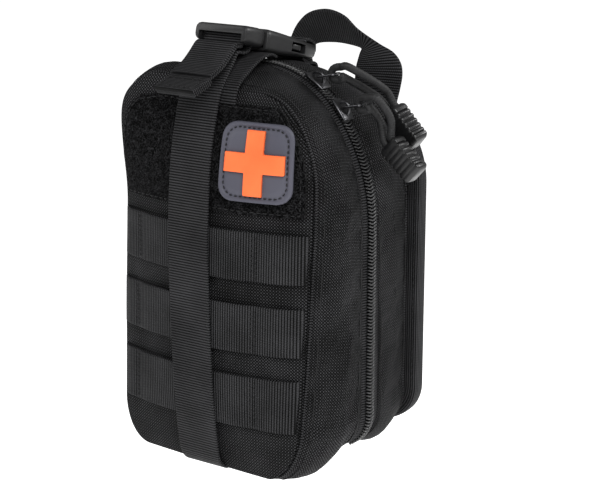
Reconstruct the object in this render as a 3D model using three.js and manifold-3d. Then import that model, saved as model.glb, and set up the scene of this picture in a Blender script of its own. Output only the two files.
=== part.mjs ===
// A rip-away first aid pouch: a two-halved zipped bag that hangs on a webbing-backed
// mounting panel and is held down by one strap with a side-release buckle.
//
// Units are millimetres, +Z up, and the front of the pouch faces -Y. The origin is on the
// flat bottom of the rear half: X = 0 is the middle of the width, Y = 0 is the zip line.
import * as THREE from 'three';
import { mergeVertices } from 'three/addons/utils/BufferGeometryUtils.js';
import Module from 'manifold-3d';

const wasm = await Module();
wasm.setup();

// ---------------------------------------------------------------- driving dimensions
const GAP = 0.3; // clearance between sewn layers that touch on the real pouch
const WEBBING = 25.4; // width of every load-bearing strap
const TAPE = 1.6; // thickness of webbing
const ROW_PITCH = 38.1; // vertical pitch of the webbing rows, and of their stitched columns
const WALL = 2.5; // padded fabric wall of both halves

const SHOULDER = 38; // degrees: below it an outline's upper corner has its side radius, above it its top radius
const BODY = { half: 68, low: 0, high: 203, topR: 61, sideR: 90, lowR: 20 }; // outline at the zip line
const FACE = { half: 60, low: 5.5, high: 194, topR: 28, sideR: 60, lowR: 18 }; // outline of the front panel
const ZIP_EDGE = 7; // each half stops this far from the zip line
const FRONT_SEAM = 41; // depth of the front half, to the seam of its front panel
const REAR_SEAM = 40; // depth of the rear half
const FACE_RIM = FRONT_SEAM + 2.3; // front surface of the front panel, at its rim
const FACE_BULGE = 12; // how far the middle of the front panel stands out of its rim
const LEAN = 3.5; // the front leans forward this much at the bottom and back this much at the top
const SAG = 5; // further forward at the very bottom
const TAPER = 0.065; // the front narrows by this share towards the bottom

// The upper left shoulder of the front half is pushed out: it is centred on an angle seen from x = 0 at this z.
const STUFFED = { z: 135, angle: 138, spread: 16, push: 12, forward: 5.5 };

const STRAP_X = -6; // centre of the closure strap and of its buckle
const STRAP_STANDOFF = 4.3; // strap centreline in front of the front panel
const LIFT_X = 2; // centre of the lift loop
const ROWS_LOW = 24; // bottom edge of the lowest webbing row
const LOOP_FIELD = { low: 134, high: 186 };
const PATCH = { x: 33, z: 161.4, size: 42.5, corner: 8 };

const PANEL = { half: 71, low: 1, high: 181, topR: 35, sideR: 50, lowR: 22 }; // mounting panel outline
const PANEL_FRONT = 44;
const PANEL_BACK = 50;
const BINDING = { reach: 9, thick: 1.1, edge: 1.4 };
const PANEL_ROWS_LOW = 32;
const ANCHOR_X = 38.1; // the two mounting straps, either side of the middle

const ARCH = { x: 0, z: BODY.high - BODY.topR }; // centre of the arc that the zip follows over the top
const CHAIN_RADIUS = BODY.topR + 1.4; // outside of the zip teeth, measured from that centre
const UPPER_SLIDER = 57.8; // slider positions on the arc, in degrees above +X
const LOWER_SLIDER = 39.2;
const CORD_RADIUS = 1.8;
const GRIP = { length: 22, half: 6.5, depth: 9 };

const BUCKLE_PITCH = 14.5; // degrees that the buckle slopes down towards the back
const MOUTH = { y: -12, z: 216.5 }; // middle of the mouth of the female buckle half

const rad = THREE.MathUtils.degToRad;
const root = new THREE.Group();

// ---------------------------------------------------------------- materials
const matte = (color, roughness = 0.9) => new THREE.MeshStandardMaterial({ color, roughness, metalness: 0 });
const NYLON = matte(0x1d1d1f);
const WEB = matte(0x202022, 0.8);
const PILE = matte(0x101011, 1);
const HOOK = matte(0x151516, 0.7);
const PLASTIC = matte(0x232427, 0.45);
const TEETH = matte(0x18181a, 0.35);
const CORD = matte(0x2a2a2c, 0.85);
const PATCH_GREY = matte(0x4f5058, 0.6);
const PATCH_ORANGE = matte(0xf5763c, 0.6);
const MESH_CLOTH = matte(0x2c2c2e, 0.9);
const STEEL = new THREE.MeshStandardMaterial({ color: 0x3a3b3d, roughness: 0.35, metalness: 0.9 });

function add(name, geometry, material, parent = root) {
  const mesh = new THREE.Mesh(geometry, material);
  mesh.name = name;
  parent.add(mesh);
  return mesh;
}

// ---------------------------------------------------------------- geometry helpers
// A closed mesh from points and triangles, turned so that its faces point out.
function solidGeometry(points, triangles) {
  const array = new Float32Array(points.flatMap((p) => [p.x, p.y, p.z]));
  let volume = 0;
  const a = new THREE.Vector3();
  for (let i = 0; i < triangles.length; i += 3) {
    volume += a.crossVectors(points[triangles[i]], points[triangles[i + 1]]).dot(points[triangles[i + 2]]);
  }
  if (volume < 0) triangles.reverse();
  const geometry = new THREE.BufferGeometry();
  geometry.setAttribute('position', new THREE.BufferAttribute(array, 3));
  geometry.setIndex(triangles);
  return geometry;
}

function bandTriangles(first, second, count) {
  const triangles = [];
  for (let j = 0; j < count; j += 1) {
    const k = (j + 1) % count;
    triangles.push(first + j, first + k, second + k, first + j, second + k, second + j);
  }
  return triangles;
}

// Rings of equal length joined one to the next, and the last to the first.
function hoop(rings) {
  const count = rings[0].length;
  const triangles = rings.flatMap((ring, i) => bandTriangles(i * count, ((i + 1) % rings.length) * count, count));
  return solidGeometry(rings.flat(), triangles);
}

// Rings joined one to the next, each end closed by a fan about its middle.
function loft(rings) {
  const count = rings[0].length;
  const points = rings.flat();
  const triangles = rings.slice(1).flatMap((ring, i) => bandTriangles(i * count, (i + 1) * count, count));
  const fan = (start, flip) => {
    const middle = new THREE.Vector3();
    for (let j = 0; j < count; j += 1) middle.addScaledVector(points[start + j], 1 / count);
    const tip = points.push(middle) - 1;
    for (let j = 0; j < count; j += 1) {
      const pair = [start + j, start + ((j + 1) % count)];
      triangles.push(tip, ...(flip ? pair.reverse() : pair));
    }
  };
  fan(0, true);
  fan((rings.length - 1) * count, false);
  return solidGeometry(points, triangles);
}

function toManifold(geometry) {
  const plain = geometry.clone();
  plain.deleteAttribute('normal');
  plain.deleteAttribute('uv');
  const merged = mergeVertices(plain, 1e-3);
  const triVerts = new Uint32Array(merged.index.array);
  return new wasm.Manifold(
    new wasm.Mesh({ numProp: 3, vertProperties: new Float32Array(merged.attributes.position.array), triVerts }),
  );
}

function fromManifold(solid) {
  const mesh = solid.getMesh();
  const geometry = new THREE.BufferGeometry();
  geometry.setAttribute('position', new THREE.BufferAttribute(new Float32Array(mesh.vertProperties), 3));
  geometry.setIndex(new THREE.BufferAttribute(new Uint32Array(mesh.triVerts), 1));
  return geometry;
}

function combine(base, { join = [], cut = [] }) {
  let solid = toManifold(base);
  for (const piece of join) solid = solid.add(toManifold(piece));
  for (const piece of cut) solid = solid.subtract(toManifold(piece));
  return fromManifold(solid);
}

// A box given by its lowest and highest corners.
function box(low, high) {
  const size = high.map((v, i) => v - low[i]);
  const middle = high.map((v, i) => (v + low[i]) / 2);
  return new THREE.BoxGeometry(...size).translate(...middle);
}

function arc(cx, cz, r, from, to, steps) {
  return Array.from({ length: steps + 1 }, (unused, i) => {
    const angle = rad(from + ((to - from) * i) / steps);
    return new THREE.Vector2(cx + r * Math.cos(angle), cz + r * Math.sin(angle));
  });
}

// Centres of the two arcs that make an outline's upper right corner.
function cornerCentres({ half, high, topR, sideR }) {
  const cos = Math.cos(rad(SHOULDER));
  const sin = Math.sin(rad(SHOULDER));
  const top = new THREE.Vector2(half - topR * cos - sideR * (1 - cos), high - topR);
  const side = new THREE.Vector2(half - sideR, top.y - (sideR - topR) * sin);
  return { top, side };
}

// An outline in X and Z with a flat bottom, two lower corners and two upper corners.
function outline(shape) {
  const { half, low, topR, sideR, lowR } = shape;
  const { top, side } = cornerCentres(shape);
  const corner = arc(half - lowR, low + lowR, lowR, -90, 0, 5);
  const straight = [0.2, 0.4, 0.6, 0.8].map((share) => {
    return new THREE.Vector2(half, low + lowR + share * (side.y - low - lowR));
  });
  const shoulder = arc(side.x, side.y, sideR, 0, SHOULDER, 5).slice(0, -1);
  const right = [...corner, ...straight, ...shoulder, ...arc(top.x, top.y, topR, SHOULDER, 90, 7)];
  const left = right.map((p) => new THREE.Vector2(-p.x, p.y)).reverse();
  return [...right, ...left];
}

const inset = (shape, by) => ({
  half: shape.half - by,
  low: shape.low + by,
  high: shape.high - by,
  topR: shape.topR - by,
  sideR: shape.sideR - by,
  lowR: shape.lowR - by,
});

const ringAt = (shape, y) => outline(shape).map((p) => new THREE.Vector3(p.x, y, p.y));

// A wall that follows a list of [outline, y] stations, WALL thick inwards.
function wall(stations) {
  const outer = stations.map(([shape, y]) => ringAt(shape, y));
  const inner = stations.map(([shape, y]) => ringAt(inset(shape, WALL), y)).reverse();
  return [...outer, ...inner];
}

function plate(shape, y0, y1) {
  return loft([ringAt(shape, y0), ringAt(shape, y1)]);
}

// Half the width of an outline at height z.
function halfWidthAt(shape, z) {
  const { top, side } = cornerCentres(shape);
  const turn = side.y + shape.sideR * Math.sin(rad(SHOULDER));
  const [centre, r] = z > turn ? [top, shape.topR] : [side, shape.sideR];
  const rise = Math.max(0, z - centre.y);
  return centre.x + Math.sqrt(Math.max(0, r * r - rise * rise));
}

// How far forward the front leans at height z, and the share of its width that it keeps there.
const leanAt = (z) => (LEAN * (100 - z)) / 95 + SAG * Math.max(0, (60 - z) / 60) ** 2;
const widthShare = (z) => 1 - TAPER * THREE.MathUtils.clamp((125 - z) / 100, 0, 1.2);

// A point of the front half, leaned and tapered by as much as its distance from the zip line.
function settle(p) {
  const share = THREE.MathUtils.clamp((-p.y - ZIP_EDGE) / (FRONT_SEAM - ZIP_EDGE), 0, 1);
  return new THREE.Vector3(p.x * (1 - share * (1 - widthShare(p.z))), p.y - share * leanAt(p.z), p.z);
}

// Fills out the upper left shoulder of the front half, which is packed fuller than the right.
function stuff(geometry) {
  const position = geometry.attributes.position;
  for (let i = 0; i < position.count; i += 1) {
    const [x, y, z] = [position.getX(i), position.getY(i), position.getZ(i)];
    if (x >= 0) continue;
    const angle = THREE.MathUtils.radToDeg(Math.atan2(z - STUFFED.z, x));
    const reach = Math.min(1, Math.hypot(x, z - STUFFED.z) / 75) ** 2;
    const depth = THREE.MathUtils.smoothstep(-y, ZIP_EDGE, 25);
    const push = STUFFED.push * Math.exp(-(((angle - STUFFED.angle) / STUFFED.spread) ** 2)) * reach * depth;
    const upper = THREE.MathUtils.smoothstep(-x, 20, 55) * THREE.MathUtils.smoothstep(z, 125, 175);
    const forward = STUFFED.forward * upper * THREE.MathUtils.smoothstep(-y, ZIP_EDGE, FRONT_SEAM);
    position.setXYZ(i, x - 0.62 * push, y - forward, z + 0.78 * push);
  }
  return geometry;
}

// How far the padded front panel stands out of its rim at x, z.
function dome(x, z) {
  const across = 1 - (x / (FACE.half + 1)) ** 2;
  const along = 1 - ((z - 98) / 97) ** 4;
  return FACE_BULGE * Math.max(0, across) * Math.max(0, along);
}

const faceY = (x, z, offset) => -(FACE_RIM + dome(x, z) + leanAt(z) + offset);

// A sheet lying on the front panel between two offsets in front of it.
function faceSheet({ low, high, left, right }, from, to, nx = 12, nz = 2) {
  const geometry = new THREE.BoxGeometry(2, 1, 1, nx, 1, nz);
  const position = geometry.attributes.position;
  for (let i = 0; i < position.count; i += 1) {
    const z = low + (position.getZ(i) + 0.5) * (high - low);
    const share = (position.getX(i) + 1) / 2;
    const x = left(z) + share * (right(z) - left(z));
    const offset = position.getY(i) < 0 ? to : from;
    position.setXYZ(i, x, faceY(x, z, offset), z);
  }
  return geometry;
}

// A flat shape lying on the front panel, made of shrinking copies of its outline.
function faceShape(corners, cx, cz, from, to) {
  const points = subdivide(corners, 5);
  const scales = [1, 0.7, 0.35, 0.05];
  const ring = (scale, offset) =>
    points.map((p) => {
      const x = cx + p.x * scale;
      const z = cz + p.y * scale;
      return new THREE.Vector3(x, faceY(x, z, offset), z);
    });
  const front = scales.map((s) => ring(s, to)).reverse();
  const back = scales.map((s) => ring(s, from));
  return loft([...front, ...back]);
}

// The same closed outline with no side longer than a given step.
function subdivide(corners, step) {
  return corners.flatMap((p, i) => {
    const q = corners[(i + 1) % corners.length];
    const parts = Math.ceil(p.distanceTo(q) / step);
    return Array.from({ length: parts }, (unused, j) => p.clone().lerp(q, j / parts));
  });
}

function roundedSquare(size, corner, steps = 4) {
  const flat = size / 2 - corner;
  const centres = [[1, -1], [1, 1], [-1, 1], [-1, -1]];
  return centres.flatMap(([sx, sz], quarter) =>
    Array.from({ length: steps + 1 }, (unused, i) => {
      const angle = rad(-90 + 90 * quarter + (90 * i) / steps);
      return new THREE.Vector2(sx * flat + corner * Math.cos(angle), sz * flat + corner * Math.sin(angle));
    }),
  );
}

// Webbing whose centreline is a smooth curve through [y, z] points, between two X values.
function strap(points, x0, x1, steps, thick = TAPE) {
  const curve = new THREE.SplineCurve(points.map(([y, z]) => new THREE.Vector2(y, z)));
  const rings = [];
  for (let i = 0; i <= steps; i += 1) {
    const p = curve.getPoint(i / steps);
    const t = curve.getTangent(i / steps);
    const n = new THREE.Vector2(-t.y, t.x).multiplyScalar(thick / 2);
    rings.push([
      new THREE.Vector3(x0, p.x + n.x, p.y + n.y),
      new THREE.Vector3(x1, p.x + n.x, p.y + n.y),
      new THREE.Vector3(x1, p.x - n.x, p.y - n.y),
      new THREE.Vector3(x0, p.x - n.x, p.y - n.y),
    ]);
  }
  return loft(rings);
}

// ---------------------------------------------------------------- front half of the bag
function buildFrontHalf() {
  const seam = { half: 61, low: 5, high: 194.5, topR: 28.5, sideR: 61, lowR: 18 };
  const shoulder = { half: 65.5, low: 4, high: 198, topR: 39, sideR: 70, lowR: 19 };
  const belly = { half: 68, low: 3, high: 201.5, topR: 52, sideR: 82, lowR: 20 };
  const edge = { ...BODY, low: 1.2 };
  const rings = wall([[seam, -FRONT_SEAM], [shoulder, -34], [belly, -20], [edge, -ZIP_EDGE]]);
  add('front_gusset', stuff(hoop(rings.map((points) => points.map(settle)))), NYLON);

  const rim = outline(FACE);
  const middle = (FACE.low + FACE.high) / 2;
  const ring = (scale, surface) =>
    rim.map((p) => {
      const z = middle + (p.y - middle) * scale;
      const x = p.x * scale * widthShare(z);
      return new THREE.Vector3(x, surface(x, z), z);
    });
  const scales = [1, 0.9, 0.7, 0.45, 0.2, 0.03];
  const front = scales.map((s) => ring(s, (x, z) => faceY(x, z, 0))).reverse();
  const back = scales.map((s) => ring(s, (x, z) => -(FRONT_SEAM + GAP + leanAt(z)) - 0.6 * dome(x, z)));
  add('front_panel', stuff(loft([...front, ...back])), NYLON);

  const loopHalf = (z) => Math.min(57, halfWidthAt(FACE, z) - 2.5);
  const loopField = { ...LOOP_FIELD, left: (z) => -loopHalf(z), right: loopHalf };
  add('front_loop_field', stuff(faceSheet(loopField, 1, 2.3, 16, 10)), PILE);
  for (let row = 0; row < 3; row += 1) {
    const low = ROWS_LOW + row * ROW_PITCH;
    const rowHalf = (z) => (FACE.half - 1) * widthShare(z);
    const sheet = { low, high: low + WEBBING, left: (z) => -rowHalf(z), right: rowHalf };
    add(`front_webbing_row_${row + 1}`, faceSheet(sheet, 0.5, 0.5 + TAPE), WEB);
  }

  const lift = [[-44.7, 187.5], [-43.8, 193], [-40.6, 197.4], [-33, 202], [-23, 206.6], [-14, 208], [-9, 206.4]];
  add('front_lift_loop', strap(lift, LIFT_X - WEBBING / 2, LIFT_X + WEBBING / 2, 20), WEB);

  const pocket = { half: 50, low: 12, high: 112, topR: 3, sideR: 3, lowR: 12 };
  add('front_mesh_pocket', plate(pocket, -38.3, -37.5), MESH_CLOTH);
  add('front_pocket_hem', box([-50, -39, 113], [50, -36.8, 121]), WEB);
}

// ---------------------------------------------------------------- rear half of the bag
function buildRearHalf() {
  const belly = { half: 67.5, low: 0, high: 199.5, topR: 57, sideR: 84, lowR: 20 };
  const seam = { half: 65, low: 0, high: 193, topR: 50, sideR: 76, lowR: 20 };
  add('rear_gusset', hoop(wall([[BODY, ZIP_EDGE], [belly, 24], [seam, REAR_SEAM]])), NYLON);
  add('rear_panel', plate(inset(seam, WALL + GAP), REAR_SEAM - 2.2, REAR_SEAM - 0.2), NYLON);
  add('rear_loop_field', box([-52, REAR_SEAM + GAP, 22], [52, REAR_SEAM + 1.8, 148]), PILE);
  const divider = { half: 56, low: 8, high: 176, topR: 46, sideR: 60, lowR: 12 };
  add('rear_divider', plate(divider, 35, 36.4), NYLON);
  [34, 84, 134].forEach((z, i) => {
    add(`rear_elastic_band_${i + 1}`, box([-52, 33, z], [52, 34.4, z + 30]), WEB);
  });
  add('bottom_hinge_strip', box([-43, -4.6, 0], [43, ZIP_EDGE - GAP, 1.4]), NYLON);
}

// ---------------------------------------------------------------- zip
// Stations up the right side, over the top and down the left, from one lower corner to the other.
function zipStations() {
  const points = outline(BODY);
  const first = 3;
  return points.slice(first, points.length - first);
}

// A strip with a rectangular section that follows the zip line.
function zipStrip(y0, y1, inner, outer) {
  const points = zipStations();
  const rings = points.map((p, i) => {
    const before = points[Math.max(0, i - 1)];
    const after = points[Math.min(points.length - 1, i + 1)];
    const along = after.clone().sub(before).normalize();
    const out = new THREE.Vector2(along.y, -along.x);
    const at = (y, offset) => new THREE.Vector3(p.x + out.x * offset, y, p.y + out.y * offset);
    return [at(y0, inner), at(y1, inner), at(y1, outer), at(y0, outer)];
  });
  return loft(rings);
}

function buildZip() {
  add('front_zip_tape', zipStrip(-ZIP_EDGE + GAP, -3.8, -1.4, -0.2), WEB);
  add('front_zip_teeth', zipStrip(-3.5, -0.15, -1.2, 1.3), TEETH);
  add('rear_zip_tape', zipStrip(3.8, ZIP_EDGE - GAP, -1.4, -0.2), WEB);
  add('rear_zip_teeth', zipStrip(0.15, 3.5, -1.2, 1.3), TEETH);
}

// A slider in its own frame: +Z away from the bag, +X along the zip, origin on the teeth.
function sliderGeometry() {
  const crown = new THREE.Shape();
  crown.moveTo(-6.5, 0.8);
  crown.lineTo(6.5, 0.8);
  crown.lineTo(5.4, 2.6);
  crown.lineTo(-5.4, 2.6);
  const body = new THREE.ExtrudeGeometry(crown, { depth: 10, bevelEnabled: false }).translate(0, 0, -5);
  body.rotateX(Math.PI / 2);
  const bail = new THREE.Shape();
  bail.moveTo(-4.4, 2.4);
  bail.absarc(0, 2.4, 4.4, Math.PI, 0, true);
  bail.lineTo(2.7, 2.4);
  bail.absarc(0, 2.4, 2.7, 0, Math.PI, false);
  const bridge = new THREE.ExtrudeGeometry(bail, { depth: 3.2, bevelEnabled: false, curveSegments: 8 });
  bridge.translate(0, 0, -1.6).rotateX(Math.PI / 2);
  return combine(body, { join: [bridge] });
}

// The wire link that hangs in the slider's bail. Its crossbar is the axis it swings about.
function linkGeometry() {
  const outer = new THREE.Shape();
  outer.moveTo(-0.7, -4);
  outer.lineTo(11.5, -4);
  outer.lineTo(11.5, 4);
  outer.lineTo(-0.7, 4);
  const eye = new THREE.Path();
  eye.moveTo(0.7, -2.6);
  eye.lineTo(0.7, 2.6);
  eye.lineTo(10.1, 2.6);
  eye.lineTo(10.1, -2.6);
  outer.holes.push(eye);
  return new THREE.ExtrudeGeometry(outer, { depth: 1.4, bevelEnabled: false }).translate(0, 0, -0.7);
}

// A doubled cord: out from the grip on one side, round the end bar of the link, and back.
// points run from the grip to the link; spread gives half the distance between the strands.
function cordGeometry(points, spread) {
  const side = points.map((p, i) => {
    const along = points[Math.min(i + 1, points.length - 1)].clone().sub(points[Math.max(i - 1, 0)]);
    return new THREE.Vector3(-along.z, 0, along.x).normalize().multiplyScalar(spread[i]);
  });
  const there = points.map((p, i) => p.clone().add(side[i]));
  const back = points.map((p, i) => p.clone().sub(side[i])).reverse();
  const last = points[points.length - 1];
  const ahead = last.clone().sub(points[points.length - 2]).setLength(spread[spread.length - 1]);
  const sideways = side[side.length - 1];
  const turn = [45, 90, 135].map((angle) =>
    last.clone().addScaledVector(ahead, Math.sin(rad(angle))).addScaledVector(sideways, Math.cos(rad(angle))),
  );
  const curve = new THREE.CatmullRomCurve3([...there, ...turn, ...back], false, 'catmullrom', 0.5);
  const section = new THREE.Shape();
  section.absarc(0, 0, CORD_RADIUS, 0, 2 * Math.PI, false);
  return new THREE.ExtrudeGeometry(section, {
    steps: 52,
    extrudePath: curve,
    bevelEnabled: false,
    curveSegments: 4,
  });
}

// A moulded grip along +X with ribbed edges and a pocket for the ends of the cord.
function gripGeometry() {
  const { length, half, depth } = GRIP;
  const rib = 3.5;
  const notch = 0.8;
  const shape = new THREE.Shape();
  shape.moveTo(0, -half + 1);
  for (let x = 4; x < length - 3; x += rib) {
    shape.lineTo(x, -half);
    shape.lineTo(x + 0.6, -half + notch);
    shape.lineTo(x + 1.6, -half + notch);
    shape.lineTo(x + 2.2, -half);
  }
  shape.lineTo(length, -half + 2);
  shape.lineTo(length, half - 2);
  for (let x = 4 + rib * Math.floor((length - 7) / rib); x > 3; x -= rib) {
    shape.lineTo(x + 2.2, half);
    shape.lineTo(x + 1.6, half - notch);
    shape.lineTo(x + 0.6, half - notch);
    shape.lineTo(x, half);
  }
  shape.lineTo(0, half - 1);
  const body = new THREE.ExtrudeGeometry(shape, { depth, bevelEnabled: false });
  body.translate(0, 0, -depth / 2).rotateX(Math.PI / 2);
  return combine(body, { cut: [box([-1, -3.3, -4.8], [7, 3.3, 4.8])] });
}

// One slider with its link, cord and grip. bend lists the cord's middle points, from the grip on.
function buildPull(which, angle, linkAngle, grip, bend) {
  const a = rad(angle);
  const seat = new THREE.Group();
  seat.position.set(ARCH.x + CHAIN_RADIUS * Math.cos(a), 0, ARCH.z + CHAIN_RADIUS * Math.sin(a));
  seat.rotation.y = Math.PI / 2 - a;
  root.add(seat);
  add(`${which}_slider`, sliderGeometry(), STEEL, seat);

  const barRadius = CHAIN_RADIUS + 4;
  const link = new THREE.Group();
  link.position.set(ARCH.x + barRadius * Math.cos(a), 0, ARCH.z + barRadius * Math.sin(a));
  link.rotation.y = -rad(linkAngle);
  root.add(link);
  add(`${which}_puller_link`, linkGeometry(), STEEL, link);

  const holder = new THREE.Group();
  holder.position.set(...grip.at);
  holder.rotation.y = -rad(grip.angle);
  holder.rotateX(rad(grip.roll));
  root.add(holder);
  add(`${which}_grip`, gripGeometry(), PLASTIC, holder);

  root.updateMatrixWorld(true);
  const inside = holder.localToWorld(new THREE.Vector3(4.5, 0, 0));
  const mouth = holder.localToWorld(new THREE.Vector3(-2, 0, 0));
  const path = [inside, mouth, ...bend.map((p) => new THREE.Vector3(...p))];
  path.push(...[17, 14, 10.8].map((x) => link.localToWorld(new THREE.Vector3(x, 0, 0))));
  const spread = [2.2, 2.3, ...bend.map(() => 3.2), 3.2, 3.2, 3.3];
  add(`${which}_cord`, cordGeometry(path, spread), CORD);
}

function buildPulls() {
  buildPull('upper', UPPER_SLIDER, 12, { at: [69, 18, 181.5], angle: -46, roll: 20 }, [[62.5, 15, 190.5]]);
  buildPull('lower', LOWER_SLIDER, 12, { at: [75.5, 5, 167], angle: -42, roll: 0 }, [[72.5, 4.5, 179]]);
}

// ---------------------------------------------------------------- flag patch
function crossOutline(arm, half) {
  const corners = [[half, -arm], [half, arm], [arm, arm], [arm, half], [-arm, half], [-arm, arm]];
  const mirrored = corners.map(([x, z]) => [-x, -z]);
  return [...corners, ...mirrored].map(([x, z]) => new THREE.Vector2(x, z));
}

function buildPatch() {
  const { x, z, size, corner } = PATCH;
  add('patch_hook_backing', faceShape(roundedSquare(size - 3, corner - 2), x, z, 2.9, 3.9), HOOK);
  add('patch_base', faceShape(roundedSquare(size, corner), x, z, 4.4, 6.4), PATCH_GREY);
  add('patch_cross', faceShape(crossOutline(4.9, 16.4), x, z, 6.8, 7.8), PATCH_ORANGE);
}

// ---------------------------------------------------------------- buckle and closure strap
// Buckle frame: +Y into the female half, +Z out of the bag, origin in the middle of the mouth.
const buckle = new THREE.Group();
buckle.position.set(STRAP_X, MOUTH.y, MOUTH.z);
buckle.rotation.x = -rad(BUCKLE_PITCH);
root.add(buckle);

const PRONG = 15; // length of the prongs inside the female half

// A block whose section changes along Y: stations are [y, half width, lowest z, highest z].
function taperedBlock(stations) {
  return loft(
    stations.map(([y, half, low, high]) => [
      new THREE.Vector3(-half, y, low),
      new THREE.Vector3(half, y, low),
      new THREE.Vector3(half, y, high),
      new THREE.Vector3(-half, y, high),
    ]),
  );
}

function buildBuckle() {
  const shell = taperedBlock([[0, 17, -6.4, 5.4], [13, 17, -6.4, 5.4], [29, 16.4, -5, 4.6], [49, 15.4, -4, 4]]);
  const cavity = taperedBlock([[-1, 15.3, -5.7, 3.6], [PRONG + 2, 15.3, -2.4, 2.4], [34, 15.3, -2.4, 2.4]]);
  const windows = box([-20, 14, -2.4], [20, 28, 2.4]);
  const slot = box([-13.2, 38, -9], [13.2, 42.5, 9]);
  add('buckle_female', combine(shell, { cut: [cavity, windows, slot] }), PLASTIC, buckle);

  const frame = taperedBlock([[-18.5, 16.5, -4.5, 4.5], [-6, 16.5, -5, 5], [-0.4, 15.5, -4.6, 4.6]]);
  const outerSlot = box([-13.2, -15.9, -9], [13.2, -12, 9]);
  const innerSlot = box([-13.2, -9.2, -9], [13.2, -5.2, 9]);
  const overBar = box([-13.2, -12.2, 0.8], [13.2, -9, 9]);
  const underBar = box([-13.2, -12.2, -9], [13.2, -9, -3]);
  const guide = box([-3, -2, -1.5], [3, PRONG - 2, 1.5]);
  const cut = [outerSlot, innerSlot, overBar, underBar];
  add('buckle_male', combine(combine(frame, { cut }), { join: [guide] }), PLASTIC, buckle);

  for (const [side, name] of [[-1, 'left'], [1, 'right']]) {
    const arm = new THREE.Shape();
    arm.moveTo(side * 7.5, 0.9);
    arm.lineTo(side * 12.5, 0.9);
    arm.lineTo(side * 12.5, 8);
    arm.lineTo(side * 14.9, 10);
    arm.lineTo(side * 14.9, PRONG - 2);
    arm.lineTo(side * 12, PRONG);
    arm.lineTo(side * 9.5, PRONG);
    const latch = new THREE.ExtrudeGeometry(arm, { depth: 3, bevelEnabled: false }).translate(0, 0, -1.5);
    add(`buckle_latch_${name}`, latch, PLASTIC, buckle);
  }
}

// A [y, z] point of the buckle frame in the part's frame.
function fromBuckle(y, z) {
  const p = new THREE.Vector3(0, y, z).applyAxisAngle(new THREE.Vector3(1, 0, 0), -rad(BUCKLE_PITCH));
  return [p.y + MOUTH.y, p.z + MOUTH.z];
}

function buildStraps() {
  const faceLine = [];
  for (let z = 18; z <= 182; z += 12) faceLine.push([faceY(STRAP_X, z, STRAP_STANDOFF), z]);
  const closure = [
    [-26, 1.4],
    [-36, 1.9],
    [-46, 2.6],
    [-53, 4.6],
    [-57.2, 10],
    ...faceLine,
    [-47.4, 190.4],
    [-44, 196.6],
    [-39.5, 202],
    [-35, 207.2],
    fromBuckle(-17.5, -9.6),
    fromBuckle(-12.3, -9),
    fromBuckle(-8.1, -7),
    fromBuckle(-7.1, -3),
    fromBuckle(-7.7, 0.8),
    fromBuckle(-10.6, 2.4),
    fromBuckle(-13.5, 0.8),
    fromBuckle(-14.1, -2.6),
    fromBuckle(-15.4, -6),
    fromBuckle(-19.5, -7.2),
    [-38.5, 209.6],
    [-45, 205],
    [-53, 201.6],
    [-61, 198.9],
    [-69, 196.6],
  ];
  add('closure_strap', strap(closure, STRAP_X - WEBBING / 2, STRAP_X + WEBBING / 2, 150), WEB);

  const lead = [
    [41.4, 152],
    [41.4, 168],
    [41.5, 182],
    [41.2, 191],
    [39.6, 197.3],
    fromBuckle(47.5, -6.2),
    fromBuckle(43.6, -5.8),
    fromBuckle(40.6, -3.6),
    fromBuckle(40.2, 0.5),
    fromBuckle(41.6, 5.2),
    fromBuckle(45.5, 6),
    fromBuckle(50.4, 4.8),
    fromBuckle(51.7, 0.5),
  ];
  add('buckle_lead', strap(lead, STRAP_X - WEBBING / 2, STRAP_X + WEBBING / 2, 60), WEB);
}

// ---------------------------------------------------------------- mounting panel
function bindingGeometry() {
  const { reach, thick, edge } = BINDING;
  const front = PANEL_FRONT - GAP;
  const back = PANEL_BACK + GAP;
  const section = [
    [back + thick, reach],
    [back + thick, 0],
    [front - thick, 0],
    [front - thick, reach],
    [front, reach],
    [front, edge],
    [back, edge],
    [back, reach],
  ];
  return hoop(section.map(([y, by]) => ringAt(inset(PANEL, by), y)));
}

// A carrying loop in the plane of the panel: webbing that rises on the left, runs over a flat
// crest and is folded down to the right. Both edges are [x, z] points, from the left foot on.
function handleGeometry() {
  const outer = [[-26, 168], [-23, 190], [-17, 210], [-5.6, 222.2], [7.6, 226.4], [19.3, 223.9], [26, 216.5]];
  outer.push([37.4, 209.5], [46.3, 205.5], [51.4, 200], [52.8, 193.7], [51.7, 186], [49.5, 177], [48, 167.5]);
  const inner = [[-1, 168], [-3, 188], [-6, 201], [-2, 206.3], [9, 207.9], [18.8, 207.6], [27.5, 206.3]];
  inner.push([27.9, 204], [27.2, 201], [25.7, 197], [24.4, 192.7], [23.6, 186], [23, 177], [22.6, 167.5]);
  const curveOf = (points) => new THREE.SplineCurve(points.map(([x, z]) => new THREE.Vector2(x, z)));
  const [outside, inside] = [curveOf(outer), curveOf(inner)];
  const steps = 36;
  const y = PANEL_BACK + 1.9;
  const rings = [];
  for (let i = 0; i <= steps; i += 1) {
    const [p, q] = [outside.getPoint(i / steps), inside.getPoint(i / steps)];
    const at = (point, depth) => new THREE.Vector3(point.x, depth, point.y);
    rings.push([at(p, y), at(q, y), at(q, y + TAPE), at(p, y + TAPE)]);
  }
  return loft(rings);
}

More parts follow.
